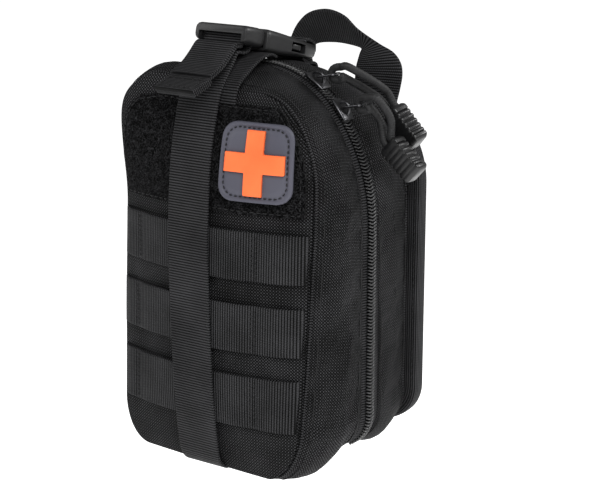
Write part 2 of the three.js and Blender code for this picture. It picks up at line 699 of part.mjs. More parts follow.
function buildMountingPanel() {
  add('panel_core', plate(inset(PANEL, BINDING.edge + GAP), PANEL_FRONT, PANEL_BACK), NYLON);
  add('panel_binding', bindingGeometry(), WEB);
  add('panel_hook_field', box([-52, 42.2, 22], [52, PANEL_FRONT - GAP, 146]), HOOK);
  for (let row = 0; row < 3; row += 1) {
    const z = PANEL_ROWS_LOW + row * ROW_PITCH;
    const layer = [PANEL_BACK + GAP, PANEL_BACK + GAP + TAPE];
    add(`panel_webbing_row_${row + 1}`, box([-61, layer[0], z], [61, layer[1], z + WEBBING]), WEB);
  }
  add('carry_handle', handleGeometry(), WEB);

  for (const [side, name] of [[-1, 'left'], [1, 'right']]) {
    const x = side * ANCHOR_X;
    const line = [[53, 158], [53, 140], [53, 100], [53, 60], [53, 31], [52.7, 28], [51.9, 25], [51.8, 22], [51.8, 11]];
    add(`mount_strap_${name}`, strap(line, x - WEBBING / 2, x + WEBBING / 2, 24, TAPE), WEB);
    const cap = new THREE.CylinderGeometry(5, 5.5, 0.8, 20).translate(x, 53.2, 17.5);
    add(`snap_cap_${name}`, cap, STEEL);
    const stud = new THREE.CylinderGeometry(5, 5, 0.5, 20).translate(x, 50.5, 17.5);
    add(`snap_stud_${name}`, stud, STEEL);
  }
}

buildFrontHalf();
buildRearHalf();
buildZip();
buildPulls();
buildPatch();
buildBuckle();
buildStraps();
buildMountingPanel();

export default root;
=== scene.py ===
"""Looks of the rip-away first aid pouch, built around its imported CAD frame.

All sizes are in metres; MM turns millimetres into metres. +X is right seen from the front, the front
faces -Y and +Z is up. Each soft CAD solid is replaced by a sewn, woven or moulded piece of its own.
"""
import math
import random

import bmesh
import bpy
import numpy as np
from mathutils import Matrix, Vector


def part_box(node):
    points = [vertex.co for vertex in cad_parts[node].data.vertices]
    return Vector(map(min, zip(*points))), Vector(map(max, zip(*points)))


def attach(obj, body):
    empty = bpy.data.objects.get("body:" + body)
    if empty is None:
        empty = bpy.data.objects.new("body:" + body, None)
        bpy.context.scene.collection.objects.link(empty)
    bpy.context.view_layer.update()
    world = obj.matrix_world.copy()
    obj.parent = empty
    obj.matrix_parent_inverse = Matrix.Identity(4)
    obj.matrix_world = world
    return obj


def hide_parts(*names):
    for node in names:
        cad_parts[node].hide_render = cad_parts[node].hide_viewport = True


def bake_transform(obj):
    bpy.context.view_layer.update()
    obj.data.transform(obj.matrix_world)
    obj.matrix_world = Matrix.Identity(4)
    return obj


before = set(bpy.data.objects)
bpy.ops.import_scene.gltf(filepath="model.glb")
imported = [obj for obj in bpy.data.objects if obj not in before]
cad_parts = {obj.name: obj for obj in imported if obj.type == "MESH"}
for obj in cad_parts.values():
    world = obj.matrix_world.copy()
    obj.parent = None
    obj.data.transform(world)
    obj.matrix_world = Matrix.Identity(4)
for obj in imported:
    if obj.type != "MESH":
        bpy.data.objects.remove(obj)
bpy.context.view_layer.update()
random.seed(7)

# ------------------------------------------------------------------ driving sizes
MM = 0.001
WEBBING = 25.4 * MM
TAPE = 1.6 * MM
ROW_PITCH = 38.1 * MM
PUFF = 1.6 * MM  # how far a padded wall swells between its seams
FRONT_SAG = 14 * MM  # how far the loaded front half's bottom hangs
REAR_SAG = 6 * MM
SAG_TOP = 40 * MM  # the sag starts below this height
LEFT_FULLNESS = 3 * MM
LOOP_DIP = 8.5 * MM  # how far the loop tape's upper left corner lies below its right one
STRAP_LEAN = 5.5 * MM  # the closure strap's foot is sewn this far to the right of its top
FLOOR_DROP = 0.3  # the floor lies this far below, so that parts which swing down stay in sight

STRAP_LOW, STRAP_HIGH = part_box("closure_strap")
STRAP_X = (STRAP_LOW.x + STRAP_HIGH.x) / 2
ROWS_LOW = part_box("front_webbing_row_1")[0].z
LOOP_LOW, LOOP_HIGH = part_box("front_loop_field")
PATCH_LOW, PATCH_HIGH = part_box("patch_base")
PATCH_SIZE = PATCH_HIGH.x - PATCH_LOW.x
PATCH_CENTRE = (PATCH_LOW + PATCH_HIGH) / 2
ZIP_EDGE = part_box("rear_gusset")[0].y
REAR_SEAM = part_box("rear_gusset")[1].y
PANEL_FRONT, PANEL_BACK = (corner.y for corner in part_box("panel_core"))

SHOULDER = math.radians(38)  # where an outline's side arc meets its top arc
FRONT_SEAM = 41 * MM
FACE_RIM = FRONT_SEAM + 2.3 * MM
FACE_BULGE = 12 * MM


def shape(half, low, high, top_r, side_r, low_r):
    """An outline's sizes, given in millimetres."""
    return np.array([half, low, high, top_r, side_r, low_r]) * MM


BODY = shape(68, 0, 203, 61, 90, 20)
FACE = shape(60, 5.5, 194, 28, 60, 18)
PANEL = shape(71, 1, 181, 35, 50, 22)
FRONT_STATIONS = [
    (-FRONT_SEAM, shape(61, 5, 194.5, 28.5, 61, 18)),
    (-34 * MM, shape(65.5, 4, 198, 39, 70, 19)),
    (-20 * MM, shape(68, 3, 201.5, 52, 82, 20)),
    (-ZIP_EDGE, shape(68, 1.2, 203, 61, 90, 20)),
]
REAR_STATIONS = [
    (ZIP_EDGE, BODY),
    (24 * MM, shape(67.5, 0, 199.5, 57, 84, 20)),
    (REAR_SEAM, shape(65, 0, 193, 50, 76, 20)),
]


# ------------------------------------------------------------------ curves and outlines
def smooth_path(points, per=8):
    """Catmull-Rom samples through the points."""
    pts = [np.array(p, float) for p in points]
    out = []
    for i in range(len(pts) - 1):
        a, b = pts[max(i - 1, 0)], pts[i]
        c, d = pts[i + 1], pts[min(i + 2, len(pts) - 1)]
        for k in range(per):
            t = k / per
            m0, m1 = (c - a) / 2, (d - b) / 2
            h = (2 * t**3 - 3 * t**2 + 1, t**3 - 2 * t**2 + t, -2 * t**3 + 3 * t**2, t**3 - t**2)
            out.append(h[0] * b + h[1] * m0 + h[2] * c + h[3] * m1)
    out.append(pts[-1])
    return np.array(out)


def resample(points, count, closed=False):
    """The same polyline with evenly spaced points; count spaces when closed, count points when open."""
    pts = np.vstack([points, points[:1]]) if closed else np.asarray(points)
    steps = np.linalg.norm(np.diff(pts, axis=0), axis=1)
    travelled = np.concatenate([[0], np.cumsum(steps)])
    at = np.linspace(0, travelled[-1], count + 1)[:-1] if closed else np.linspace(0, travelled[-1], count)
    return np.stack([np.interp(at, travelled, pts[:, k]) for k in range(pts.shape[1])], axis=1)


def arc_points(cx, cz, r, start, end, steps=12):
    angles = np.linspace(start, end, steps)
    return np.stack([cx + r * np.cos(angles), cz + r * np.sin(angles)], axis=1)


def outline(sizes, count=160):
    """A closed outline in X and Z, from the middle of its bottom, up the right side and down the left."""
    half, low, high, top_r, side_r, low_r = sizes
    top = np.array([half - top_r * math.cos(SHOULDER) - side_r * (1 - math.cos(SHOULDER)), high - top_r])
    side = np.array([half - side_r, top[1] - (side_r - top_r) * math.sin(SHOULDER)])
    right = np.vstack([
        [[0, low]],
        arc_points(half - low_r, low + low_r, low_r, -math.pi / 2, 0),
        arc_points(side[0], side[1], side_r, 0, SHOULDER)[:-1],
        arc_points(top[0], top[1], top_r, SHOULDER, math.pi / 2),
        [[0, high]],
    ])
    left = right[1:-1][::-1] * np.array([-1, 1])
    return resample(np.vstack([right, left]), count, closed=True)


def inset(sizes, by):
    return sizes + np.array([-by, by, -by, -by, -by, -by])


def sizes_at(stations, y):
    """Outline sizes between stations, for a depth y."""
    depths = [station[0] for station in stations]
    return np.array([np.interp(y, depths, [station[1][k] for station in stations]) for k in range(6)])


def half_width(sizes, z):
    half, _, high, top_r, side_r, _ = sizes
    top_x = half - top_r * math.cos(SHOULDER) - side_r * (1 - math.cos(SHOULDER))
    side_z = high - top_r - (side_r - top_r) * math.sin(SHOULDER)
    turn = side_z + side_r * math.sin(SHOULDER)
    cx, cz, r = (top_x, high - top_r, top_r) if z > turn else (half - side_r, side_z, side_r)
    return cx + math.sqrt(max(0, r * r - max(0, z - cz) ** 2))


def lean_at(z):
    """How far the front leans forward at height z."""
    return 3.5 * MM * (100 * MM - z) / (95 * MM) + 5 * MM * max(0, (60 * MM - z) / (60 * MM)) ** 2


def width_share(z):
    return 1 - 0.065 * min(max((125 * MM - z) / (100 * MM), 0), 1.2)


def settle(p):
    """A point of the front half, leaned and tapered as the CAD is."""
    share = min(max((-p[1] - ZIP_EDGE) / (FRONT_SEAM - ZIP_EDGE), 0), 1)
    return (p[0] * (1 - share * (1 - width_share(p[2]))), p[1] - share * lean_at(p[2]), p[2])


def smoothstep(v, low, high):
    t = min(max((v - low) / (high - low), 0), 1)
    return t * t * (3 - 2 * t)


def droop(z):
    """How much of the bottom's sag reaches the height z."""
    return max(0, 1 - z / SAG_TOP) ** 2


def stuff(p):
    """A point of the front half, moved with its sagging bottom and its full left side."""
    x, y, z = p
    z -= (FRONT_SAG + 2.2 * MM * x / (60 * MM)) * droop(z) * smoothstep(-y, ZIP_EDGE, 32 * MM)
    if x >= 0:
        return np.array([x, y, z])
    towards_seam = smoothstep(-y, ZIP_EDGE, FRONT_SEAM)
    lower_left = smoothstep(-x, 15 * MM, 55 * MM) * smoothstep(150 * MM - z, 0, 100 * MM)
    x -= LEFT_FULLNESS * lower_left * towards_seam
    angle = math.degrees(math.atan2(z - 135 * MM, x))
    reach = min(1, math.hypot(x, z - 135 * MM) / (75 * MM)) ** 2
    push = 12 * MM * math.exp(-(((angle - 138) / 16) ** 2)) * reach * smoothstep(-y, ZIP_EDGE, 25 * MM)
    top_depth = smoothstep(-y, ZIP_EDGE + 4 * MM, 30 * MM)
    push += 7 * MM * math.exp(-(((angle - 119) / 10) ** 2)) * reach * top_depth
    upper = smoothstep(-x, 20 * MM, 55 * MM) * smoothstep(z, 125 * MM, 175 * MM)
    forward = 5.5 * MM * upper * towards_seam
    return np.array([x - 0.62 * push, y - forward, z + 0.78 * push])


def face_y(x, z, offset=0.0):
    """The front panel's surface before its shoulder is stuffed, offset forwards."""
    across = max(0, 1 - (x / (FACE[0] + MM)) ** 2)
    along = max(0, 1 - ((z - 98 * MM) / (97 * MM)) ** 4)
    return -(FACE_RIM + FACE_BULGE * across * along + lean_at(z) + offset)


def on_face(x, z, offset=0.0):
    return stuff((x, face_y(x, z, offset), z))


# ------------------------------------------------------------------ mesh building
class Build:
    """Collects grids and caps into one mesh whose UV coordinates are real metres."""

    def __init__(self):
        self.verts, self.faces, self.uvs = [], [], []

    def grid(self, points, around=False, uv=None, cap=False):
        """points[i][j]: rows along, columns across. uv(i, j, p) overrides the measured coordinates."""
        points = np.asarray(points, float)
        rows, cols = points.shape[:2]
        base = len(self.verts)
        self.verts.extend(points.reshape(-1, 3))
        along = np.concatenate([[0], np.cumsum(np.linalg.norm(np.diff(points, axis=0), axis=2).mean(1))])
        ring = np.concatenate([points, points[:, :1]], axis=1) if around else points
        across = np.concatenate([[0], np.cumsum(np.linalg.norm(np.diff(ring, axis=1), axis=2).mean(0))])
        for i in range(rows - 1):
            for j in range(cols if around else cols - 1):
                k = (j + 1) % cols
                corners = [(i, j, j), (i, k, j + 1), (i + 1, k, j + 1), (i + 1, j, j)]
                self.faces.append([base + r * cols + c for r, c, _ in corners])
                if uv:
                    self.uvs.append([uv(points[r, c]) for r, c, _ in corners])
                else:
                    self.uvs.append([(along[r], across[u]) for r, _, u in corners])
        if cap:
            for row in (0, rows - 1):
                self.faces.append([base + row * cols + c for c in range(cols)])
                self.uvs.append([(along[row], across[c]) for c in range(cols)])
        return self

    def object(self, name, material, body, slot, covers=(), thickness=0.0):
        mesh = bpy.data.meshes.new(name)
        mesh.from_pydata([tuple(v) for v in self.verts], [], self.faces)
        layer = mesh.uv_layers.new(name="metres")
        flat = [c for face in self.uvs for c in face]
        layer.data.foreach_set("uv", np.array(flat, np.float32).ravel())
        bm = bmesh.new()
        bm.from_mesh(mesh)
        bmesh.ops.remove_doubles(bm, verts=bm.verts, dist=1e-6)
        bmesh.ops.recalc_face_normals(bm, faces=bm.faces)
        bm.to_mesh(mesh)
        bm.free()
        mesh.polygons.foreach_set("use_smooth", [True] * len(mesh.polygons))
        mesh.materials.append(material)
        obj = bpy.data.objects.new(name, mesh)
        bpy.context.scene.collection.objects.link(obj)
        if thickness:
            solid = obj.modifiers.new("thickness", "SOLIDIFY")
            solid.thickness = thickness
            solid.offset = -1
        if body:
            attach(obj, body)
        if covers:
            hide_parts(*covers)
        return obj


def soften(obj, width, segments=2):
    """Rounds hard edges with a bevel."""
    bevel = obj.modifiers.new("soft_edges", "BEVEL")
    bevel.width = width
    bevel.segments = segments
    bevel.limit_method = "ANGLE"
    bevel.angle_limit = math.radians(32)
    bevel.harden_normals = False


def unit(v):
    return v / max(np.linalg.norm(v), 1e-12)


def tangents(path):
    return np.array([unit(t) for t in np.gradient(np.asarray(path, float), axis=0)])


def ribbon_rings(path, sides, widths, thick, lanes=6):
    """Rounded flat cross-sections along a path; sides are the width directions."""
    rounding = 0.35
    lip = np.linspace(-0.5 + 0.018, 0.5 - 0.018, lanes)
    section = [(s, 0.5) for s in lip] + [(0.5, rounding), (0.5, -rounding)]
    section += [(s, -0.5) for s in lip[::-1]] + [(-0.5, -rounding), (-0.5, rounding)]
    rings = []
    for p, t, side, width in zip(path, tangents(path), sides, widths):
        side = unit(np.asarray(side, float))
        normal = unit(np.cross(t, side))
        rings.append([p + side * s * width + normal * h * thick for s, h in section])
    return np.array(rings)


def webbing(name, path, body, side=(1, 0, 0), width=WEBBING, thick=TAPE, covers=(), slot="webbing", lanes=6):
    """A woven tape along a path, with its ends capped."""
    path = np.asarray(path, float)
    sides = side if np.ndim(side) == 2 else np.tile(side, (len(path), 1))
    widths = width if np.ndim(width) else np.full(len(path), width)
    build = Build()
    build.grid(ribbon_rings(path, sides, widths, thick, lanes), around=True, cap=True)
    return build.object(name, MATERIALS["webbing"], body, slot, covers)


def tube_rings(path, radius, sides=10, wave=None):
    """Round cross-sections along a path, turned as little as possible from one to the next."""
    path = np.asarray(path, float)
    t = tangents(path)
    normal = unit(np.cross(t[0], (0.3, 0.5, 0.81)))
    rings = []
    travelled = 0.0
    for i, p in enumerate(path):
        travelled += np.linalg.norm(p - path[i - 1]) if i else 0
        normal = unit(normal - t[i] * np.dot(normal, t[i]))
        other = np.cross(t[i], normal)
        ring = []
        for k in range(sides):
            a = 2 * math.pi * k / sides
            r = radius * (1 + (wave(travelled, a) if wave else 0))
            ring.append(p + (normal * math.cos(a) + other * math.sin(a)) * r)
        rings.append(ring)
    return np.array(rings)


# ------------------------------------------------------------------ stitches, gathered per body
STITCHES = {}


def stitch_line(body, points, normals, length=2.5 * MM, gap=1.1 * MM, radius=0.3 * MM, closed=False):
    """A run of lockstitches: short rounded threads that dip into the cloth at each end."""
    build = STITCHES.setdefault(body, Build())
    pts = np.asarray(points, float)
    nor = np.asarray(normals, float)
    if closed:
        pts, nor = np.vstack([pts, pts[:1]]), np.vstack([nor, nor[:1]])
    both = np.hstack([pts, nor])
    total = np.linalg.norm(np.diff(pts, axis=0), axis=1).sum()
    count = max(1, int(total / (length + gap)))
    fine = resample(both, count * 6 + 1)
    for k in range(count):
        piece = fine[k * 6 : k * 6 + 5]
        p, n = piece[:, :3].copy(), piece[:, 3:]
        dip = np.array([-0.9, 0.35, 0.6, 0.35, -0.9]) * radius
        p += n * dip[:, None]
        size = np.array([0.45, 0.95, 1.0, 0.95, 0.45])
        rings = tube_rings(p, radius, sides=6)
        rings = p[:, None, :] + (rings - p[:, None, :]) * size[:, None, None]
        build.grid(rings, around=True, cap=True)


def finish_stitches():
    for body, build in STITCHES.items():
        build.object("stitching_" + body, MATERIALS["thread"], body, "webbing")


# ------------------------------------------------------------------ procedural materials
class Shader:
    """A node material with short ways to add nodes. Values may be numbers or sockets."""

    def __init__(self, name):
        self.material = bpy.data.materials.new(name)
        self.material.use_nodes = True
        self.tree = self.material.node_tree
        self.bsdf = self.tree.nodes["Principled BSDF"]

    def put(self, socket, value):
        if isinstance(value, bpy.types.NodeSocket):
            self.tree.links.new(value, socket)
        else:
            socket.default_value = value

    def math(self, operation, a, b=0.0, c=0.0):
        node = self.tree.nodes.new("ShaderNodeMath")
        node.operation = operation
        for socket, value in zip(node.inputs, (a, b, c)):
            self.put(socket, value)
        return node.outputs[0]

    def uv(self):
        split = self.tree.nodes.new("ShaderNodeSeparateXYZ")
        source = self.tree.nodes.new("ShaderNodeUVMap")
        source.uv_map = "metres"
        self.tree.links.new(source.outputs[0], split.inputs[0])
        return split.outputs[0], split.outputs[1]

    def noise(self, scale, detail=3.0, stretch=(1, 1, 1)):
        """Noise in object space; scale counts features per metre."""
        place = self.tree.nodes.new("ShaderNodeTexCoord")
        squeeze = self.tree.nodes.new("ShaderNodeMapping")
        squeeze.inputs["Scale"].default_value = stretch
        self.tree.links.new(place.outputs["Object"], squeeze.inputs[0])
        node = self.tree.nodes.new("ShaderNodeTexNoise")
        node.inputs["Scale"].default_value = scale
        node.inputs["Detail"].default_value = detail
        self.tree.links.new(squeeze.outputs[0], node.inputs["Vector"])
        return node.outputs[0]

    def ramp(self, value, *stops):
        """A colour ramp; each stop is (place, colour)."""
        node = self.tree.nodes.new("ShaderNodeValToRGB")
        self.put(node.inputs[0], value)
        ramp = node.color_ramp
        ramp.elements[0].position, ramp.elements[0].color = stops[0][0], (*stops[0][1], 1)
        ramp.elements[1].position, ramp.elements[1].color = stops[-1][0], (*stops[-1][1], 1)
        for place, colour in stops[1:-1]:
            ramp.elements.new(place).color = (*colour, 1)
        return node.outputs[0]

    def bump(self, *layers):
        """Bump layers, each (height, distance in metres), one on top of the other."""
        normal = None
        for height, distance in layers:
            node = self.tree.nodes.new("ShaderNodeBump")
            node.inputs["Distance"].default_value = distance
            self.put(node.inputs["Height"], height)
            if normal:
                self.tree.links.new(normal, node.inputs["Normal"])
            normal = node.outputs[0]
        self.tree.links.new(normal, self.bsdf.inputs["Normal"])

    def finish(self, colour, roughness, sheen=0.0, specular=0.5, metallic=0.0, coat=0.0):
        self.put(self.bsdf.inputs["Base Color"], colour)
        self.put(self.bsdf.inputs["Roughness"], roughness)
        self.bsdf.inputs["Sheen Weight"].default_value = sheen
        self.bsdf.inputs["Sheen Roughness"].default_value = 0.45
        self.bsdf.inputs["Specular IOR Level"].default_value = specular
        self.bsdf.inputs["Metallic"].default_value = metallic
        self.bsdf.inputs["Coat Weight"].default_value = coat
        return self.material


def grey(level, warmth=0.0):
    return (level, level, level * (1.06 + warmth))


def stripe(s, coordinate, pitch):
    """0 at the edges of each pitch and 1 in the middle."""
    return s.math("ABSOLUTE", s.math("SINE", s.math("MULTIPLY", coordinate, math.pi / pitch)))


def nylon_material(name="nylon_cloth", dark=0.0003, light=0.05, pitch=1.15 * MM):
    """Plain weave of thick yarn, seen on the bias, with soft patches of wear. Its colour carries painted
    shade in the grooves between yarns and painted highlights on the yarn crests.
    """
    s = Shader(name)
    u, v = s.uv()
    x = s.math("MULTIPLY", s.math("ADD", u, v), 1 / (pitch * 1.414))
    y = s.math("MULTIPLY", s.math("SUBTRACT", u, v), 1 / (pitch * 1.414))
    warp, weft = stripe(s, x, 1.0), stripe(s, y, 1.0)
    cells = s.math("ADD", s.math("FLOOR", x), s.math("FLOOR", y))
    over = s.math("PINGPONG", cells, 1.0)
    warp_top = s.math("MULTIPLY", warp, s.math("MULTIPLY_ADD", weft, 0.6, 0.4))
    weft_top = s.math("MULTIPLY", s.math("MULTIPLY", weft, s.math("MULTIPLY_ADD", warp, 0.6, 0.4)), 0.8)
    difference = s.math("SUBTRACT", weft_top, warp_top)
    height = s.math("MULTIPLY_ADD", over, difference, warp_top)
    patches = s.noise(38, 4)
    # painted shade and highlight: the colour darkens in the weave's grooves and lightens on its yarn crests,
    # over the random tone of the patches
    tone = s.math("MULTIPLY_ADD", patches, 0.5, s.math("MULTIPLY", height, 0.75))
    colour = s.ramp(tone, (0.62, grey(dark)), (0.95, grey(light)))
    s.bump((patches, 0.5 * MM), (height, 0.4 * MM))
    return s.finish(colour, s.math("MULTIPLY_ADD", height, -0.2, 0.8), specular=0.1)


def webbing_material(name="webbing_weave", dark=0.0003, light=0.037, pitch=1.4 * MM):
    """Ribs across the tape, each broken into short floats by the warp. Its colour carries painted shade
    between the ribs and painted highlights on their tops.
    """
    s = Shader(name)
    u, v = s.uv()
    rib = s.math("POWER", stripe(s, u, pitch), 0.7)
    shift = s.math("MULTIPLY", s.math("FLOOR", s.math("DIVIDE", u, pitch)), 0.45 * MM)
    yarn = stripe(s, s.math("ADD", v, shift), 0.9 * MM)
    height = s.math("MULTIPLY", rib, s.math("MULTIPLY_ADD", yarn, 0.35, 0.65))
    fuzz = s.noise(900, 2)
    patches = s.noise(45, 3)
    # painted shade and highlight: the colour darkens between the ribs and lightens on their tops, over the
    # random tone of the patches
    tone = s.math("MULTIPLY_ADD", patches, 0.4, s.math("MULTIPLY", height, 0.8))
    colour = s.ramp(tone, (0.6, grey(dark)), (0.95, grey(light)))
    s.bump((fuzz, 0.08 * MM), (height, 0.45 * MM))
    return s.finish(colour, s.math("MULTIPLY_ADD", rib, -0.16, 0.74), specular=0.1)


def pile_material(name, dark, light, scale, depth):
    """Brushed loops or short hooks: speckled, matt and deep."""
    s = Shader(name)
    fine, coarse = s.noise(scale, 4), s.noise(scale / 4, 2)
    tone = s.math("MULTIPLY_ADD", coarse, 0.3, s.math("MULTIPLY", fine, 0.8))
    colour = s.ramp(tone, (0.5, grey(dark)), (0.75, grey(light)))
    s.bump((coarse, depth), (fine, depth * 0.8))
    return s.finish(colour, 0.95, sheen=0.02, specular=0.03)


def moulded_material(name, colour_low, colour_high, roughness, grain=260, depth=0.05 * MM, **finish):
    """Moulded plastic or rubber: faint mottling, fine grain and uneven gloss."""
    s = Shader(name)
    patches, fine = s.noise(grain / 5, 3), s.noise(grain * 6, 2)
    colour = s.ramp(patches, (0.3, colour_low), (0.7, colour_high))
    s.bump((patches, depth), (fine, depth * 0.5))
    return s.finish(colour, s.math("MULTIPLY_ADD", fine, 0.16, roughness - 0.08), **finish)


def mesh_cloth_material():
    """Open knitted mesh, with its holes cut out of the cloth."""
    s = Shader("mesh_cloth")
    u, v = s.uv()
    holes = s.math("MULTIPLY", stripe(s, u, 2.4 * MM), stripe(s, v, 2.4 * MM))
    solid = s.math("LESS_THAN", holes, 0.42)
    s.bump((holes, -0.2 * MM))
    s.put(s.bsdf.inputs["Alpha"], solid)
    return s.finish(s.ramp(s.noise(300), (0.3, grey(0.012)), (0.7, grey(0.025))), 0.8, sheen=0.03)


MATERIALS = {
    "nylon": nylon_material(),
    "webbing": webbing_material(),
    "loop": pile_material("loop_pile", 0.0005, 0.022, 1400, 0.5 * MM),
    "hook": pile_material("hook_tape", 0.002, 0.012, 1500, 0.4 * MM),
    "plastic": moulded_material(
        "black_plastic", grey(0.006), grey(0.01), 0.46, specular=0.34, coat=0.03),
    "grip": moulded_material("grip_rubber", grey(0.004), grey(0.009), 0.36, specular=0.45),
    "teeth": moulded_material("zip_teeth", grey(0.005), grey(0.01), 0.38, specular=0.4),
    "metal": moulded_material("dark_metal", grey(0.05), grey(0.09), 0.3, metallic=0.95),
    "cord": moulded_material(
        "cord_braid", grey(0.004), grey(0.014), 0.6, grain=900, sheen=0.01, specular=0.3),
    "thread": moulded_material(
        "sewing_thread", grey(0.003), grey(0.009), 0.6, grain=2000, sheen=0.01, specular=0.25),
    "patch": moulded_material(
        "grey_rubber", (0.055, 0.055, 0.072), (0.065, 0.065, 0.084), 0.5, specular=0.25),
    "orange": moulded_material(
        "orange_rubber", (0.76, 0.125, 0.034), (0.85, 0.155, 0.046), 0.6, specular=0.2),
    "mesh": mesh_cloth_material(),
}


# ------------------------------------------------------------------ bag shells
def shell_rings(stations, rows, front):
    """Rings of a padded wall from one seam to the other, swollen between them."""
    first, last = stations[0][0], stations[-1][0]
    rings = []
    for i in range(rows):
        t = i / (rows - 1)
        y = first + (last - first) * t
        swell = PUFF * (math.sin(math.pi * t) ** 0.6) - 0.7 * MM
        sizes = inset(sizes_at(stations, y), -swell if front else -swell * 0.6)
        sizes[1] = sizes_at(stations, y)[1] + 0.3 * MM
        open_by = 0 if front else (1 - t) ** 2
        ring = [(x, y + open_by * (5 * MM * smoothstep(-z, -150 * MM, -50 * MM) - 2 * MM), z)
                for x, z in outline(sizes)]
        if front:
            ring = [stuff(settle(p)) for p in ring]
        else:
            belly = REAR_SAG * math.sin(math.pi * t)
            ring = [(x, y, z - belly * droop(z) * smoothstep(abs(x), 14 * MM, 40 * MM)) for x, y, z in ring]
        rings.append(ring)
    return np.array(rings)


def simulate(obj, pinned, pressure=2.0, slack=0.012, steps=16, cap=1.8 * MM):
    """Swells and wrinkles padded cloth between pinned seams; no point moves further than cap."""
    start = np.array([v.co[:] for v in obj.data.vertices])
    group = obj.vertex_groups.new(name="pinned")
    group.add([int(i) for i in pinned], 1.0, "REPLACE")
    cloth = obj.modifiers.new("cloth", "CLOTH")
    settings = cloth.settings
    settings.quality = 5
    settings.mass = 0.2
    settings.tension_stiffness = settings.compression_stiffness = 20
    settings.shear_stiffness = 8
    settings.bending_stiffness = 0.4
    settings.vertex_group_mass = "pinned"
    settings.use_pressure = True
    settings.uniform_pressure_force = pressure
    settings.shrink_min = -slack
    settings.effector_weights.gravity = 0
    cloth.collision_settings.use_collision = False
    cloth.point_cache.frame_end = steps
    scene = bpy.context.scene
    for step in range(1, steps + 1):
        scene.frame_set(step)
    evaluated = obj.evaluated_get(bpy.context.evaluated_depsgraph_get())
    moved = np.array([v.co[:] for v in evaluated.data.vertices]) - start
    length = np.linalg.norm(moved, axis=1, keepdims=True)
    moved *= np.minimum(1, cap / np.maximum(length, 1e-9))
    obj.modifiers.remove(cloth)
    scene.frame_set(1)
    obj.data.vertices.foreach_set("co", (start + moved).astype(np.float32).ravel())
    obj.data.update()


def add_shell(name, stations, body, covers, front):
    """One half's gusset: cloth simulated as a single skin, then given its padded thickness."""
    rows = 22
    rings = shell_rings(stations, rows, front)
    build = Build()
    build.grid(rings, around=True)
    obj = build.object(name, MATERIALS["nylon"], None, "nylon_cloth")
    columns = rings.shape[1]
    edge = list(range(2 * columns)) + list(range((rows - 2) * columns, rows * columns))
    simulate(obj, edge)
    solid = obj.modifiers.new("padding", "SOLIDIFY")
    solid.thickness = 2.2 * MM
    solid.offset = -1
    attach(obj, body)
    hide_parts(*covers)
    return rings


def seam_stitches(body, rings, row, lift=0.35 * MM):
    """Stitches round a shell, on one of its rings."""
    ring = rings[row]
    middle = ring.mean(axis=0)
    across = rings[min(row + 1, len(rings) - 1)] - rings[max(row - 1, 0)]
    along = np.roll(ring, -1, axis=0) - np.roll(ring, 1, axis=0)
    normals = np.array([unit(np.cross(a, b)) for a, b in zip(along, across)])
    outward = np.sign(((ring - middle) * normals).sum(axis=1))[:, None]
    normals = normals * outward
    stitch_line(body, ring + normals * lift, normals, closed=True)


def piping(name, sizes, y, body, radius, front=False):
    """A bound seam that stands up as a soft cord round an outline."""
    ring = np.array([(x, y, z) for x, z in outline(sizes, 220)])
    if front:
        ring = np.array([stuff(settle(p)) for p in ring])
    path = np.vstack([ring, ring[:2]])
    rings = tube_rings(path, radius, sides=8)[:-1]
    build = Build()
    build.grid(rings, around=True, cap=True)
    return build.object(name, MATERIALS["webbing"], body, "webbing")


def add_bag_halves():
    front = add_shell("front_gusset_cloth", FRONT_STATIONS, "front_half", ["front_gusset"], True)
    rear = add_shell("rear_gusset_cloth", REAR_STATIONS, "rear_half", ["rear_gusset"], False)
    seam_stitches("front_half", front, 2)
    seam_stitches("front_half", front, 19)
    seam_stitches("rear_half", rear, 1)
    seam_stitches("rear_half", rear, 20)
    front_rim, rear_rim = inset(FRONT_STATIONS[0][1], 0.6 * MM), inset(REAR_STATIONS[-1][1], 0.6 * MM)
    piping("front_seam_piping", front_rim, -FRONT_SEAM - 0.4 * MM, "front_half", 0.7 * MM, True)
    piping("rear_seam_piping", rear_rim, REAR_SEAM - 0.4 * MM, "rear_half", 1.2 * MM)


def add_front_cover():
    """The padded front panel, pressed in under the webbing rows and full between them."""
    rows, columns = 96, 70
    low, high = FACE[1], FACE[2]
    outer = []
    for i in range(rows):
        share = (1 - math.cos(math.pi * i / (rows - 1))) / 2
        z = low + 0.02 * MM + (high - low - 0.04 * MM) * share
        half = half_width(FACE, z)
        rise = max(0, low + FACE[5] - z)
        half -= FACE[5] - math.sqrt(max(0, FACE[5] ** 2 - rise**2))
        half = (half - 0.4 * MM) * width_share(z)
        line = []
        for j in range(columns):
            x = half * math.sin(math.pi * (j / (columns - 1) - 0.5))
            channel = 0.0
            for row in range(3):
                middle = ROWS_LOW + WEBBING / 2 + row * ROW_PITCH
                channel += math.exp(-(((z - middle) / (WEBBING * 0.42)) ** 4))
            edge = min(1, (half - abs(x)) / (6 * MM), (z - low) / (6 * MM), (high - z) / (6 * MM))
            full = 0.5 * MM * (1 - channel) * max(0, edge) - 0.6 * MM * channel * max(0, edge)
            line.append(on_face(x, z, full - 0.3 * MM))
        outer.append(line)
    outer = np.array(outer)
    build = Build()
    build.grid(outer, uv=lambda p: (p[0], p[2]))
    obj = build.object("front_cover_cloth", MATERIALS["nylon"], "front_half", "nylon_cloth", ["front_panel"])
    solid = obj.modifiers.new("padding", "SOLIDIFY")
    solid.thickness = 1.6 * MM
    solid.offset = -1
    lining = Build()
    inner = outer.copy()
    inner[:, :, 1] += 2.6 * MM
    lining.grid(inner, uv=lambda p: (p[0], p[2]))
    lining.object("front_cover_lining", MATERIALS["nylon"], "front_half", "nylon_cloth", thickness=0.6 * MM)


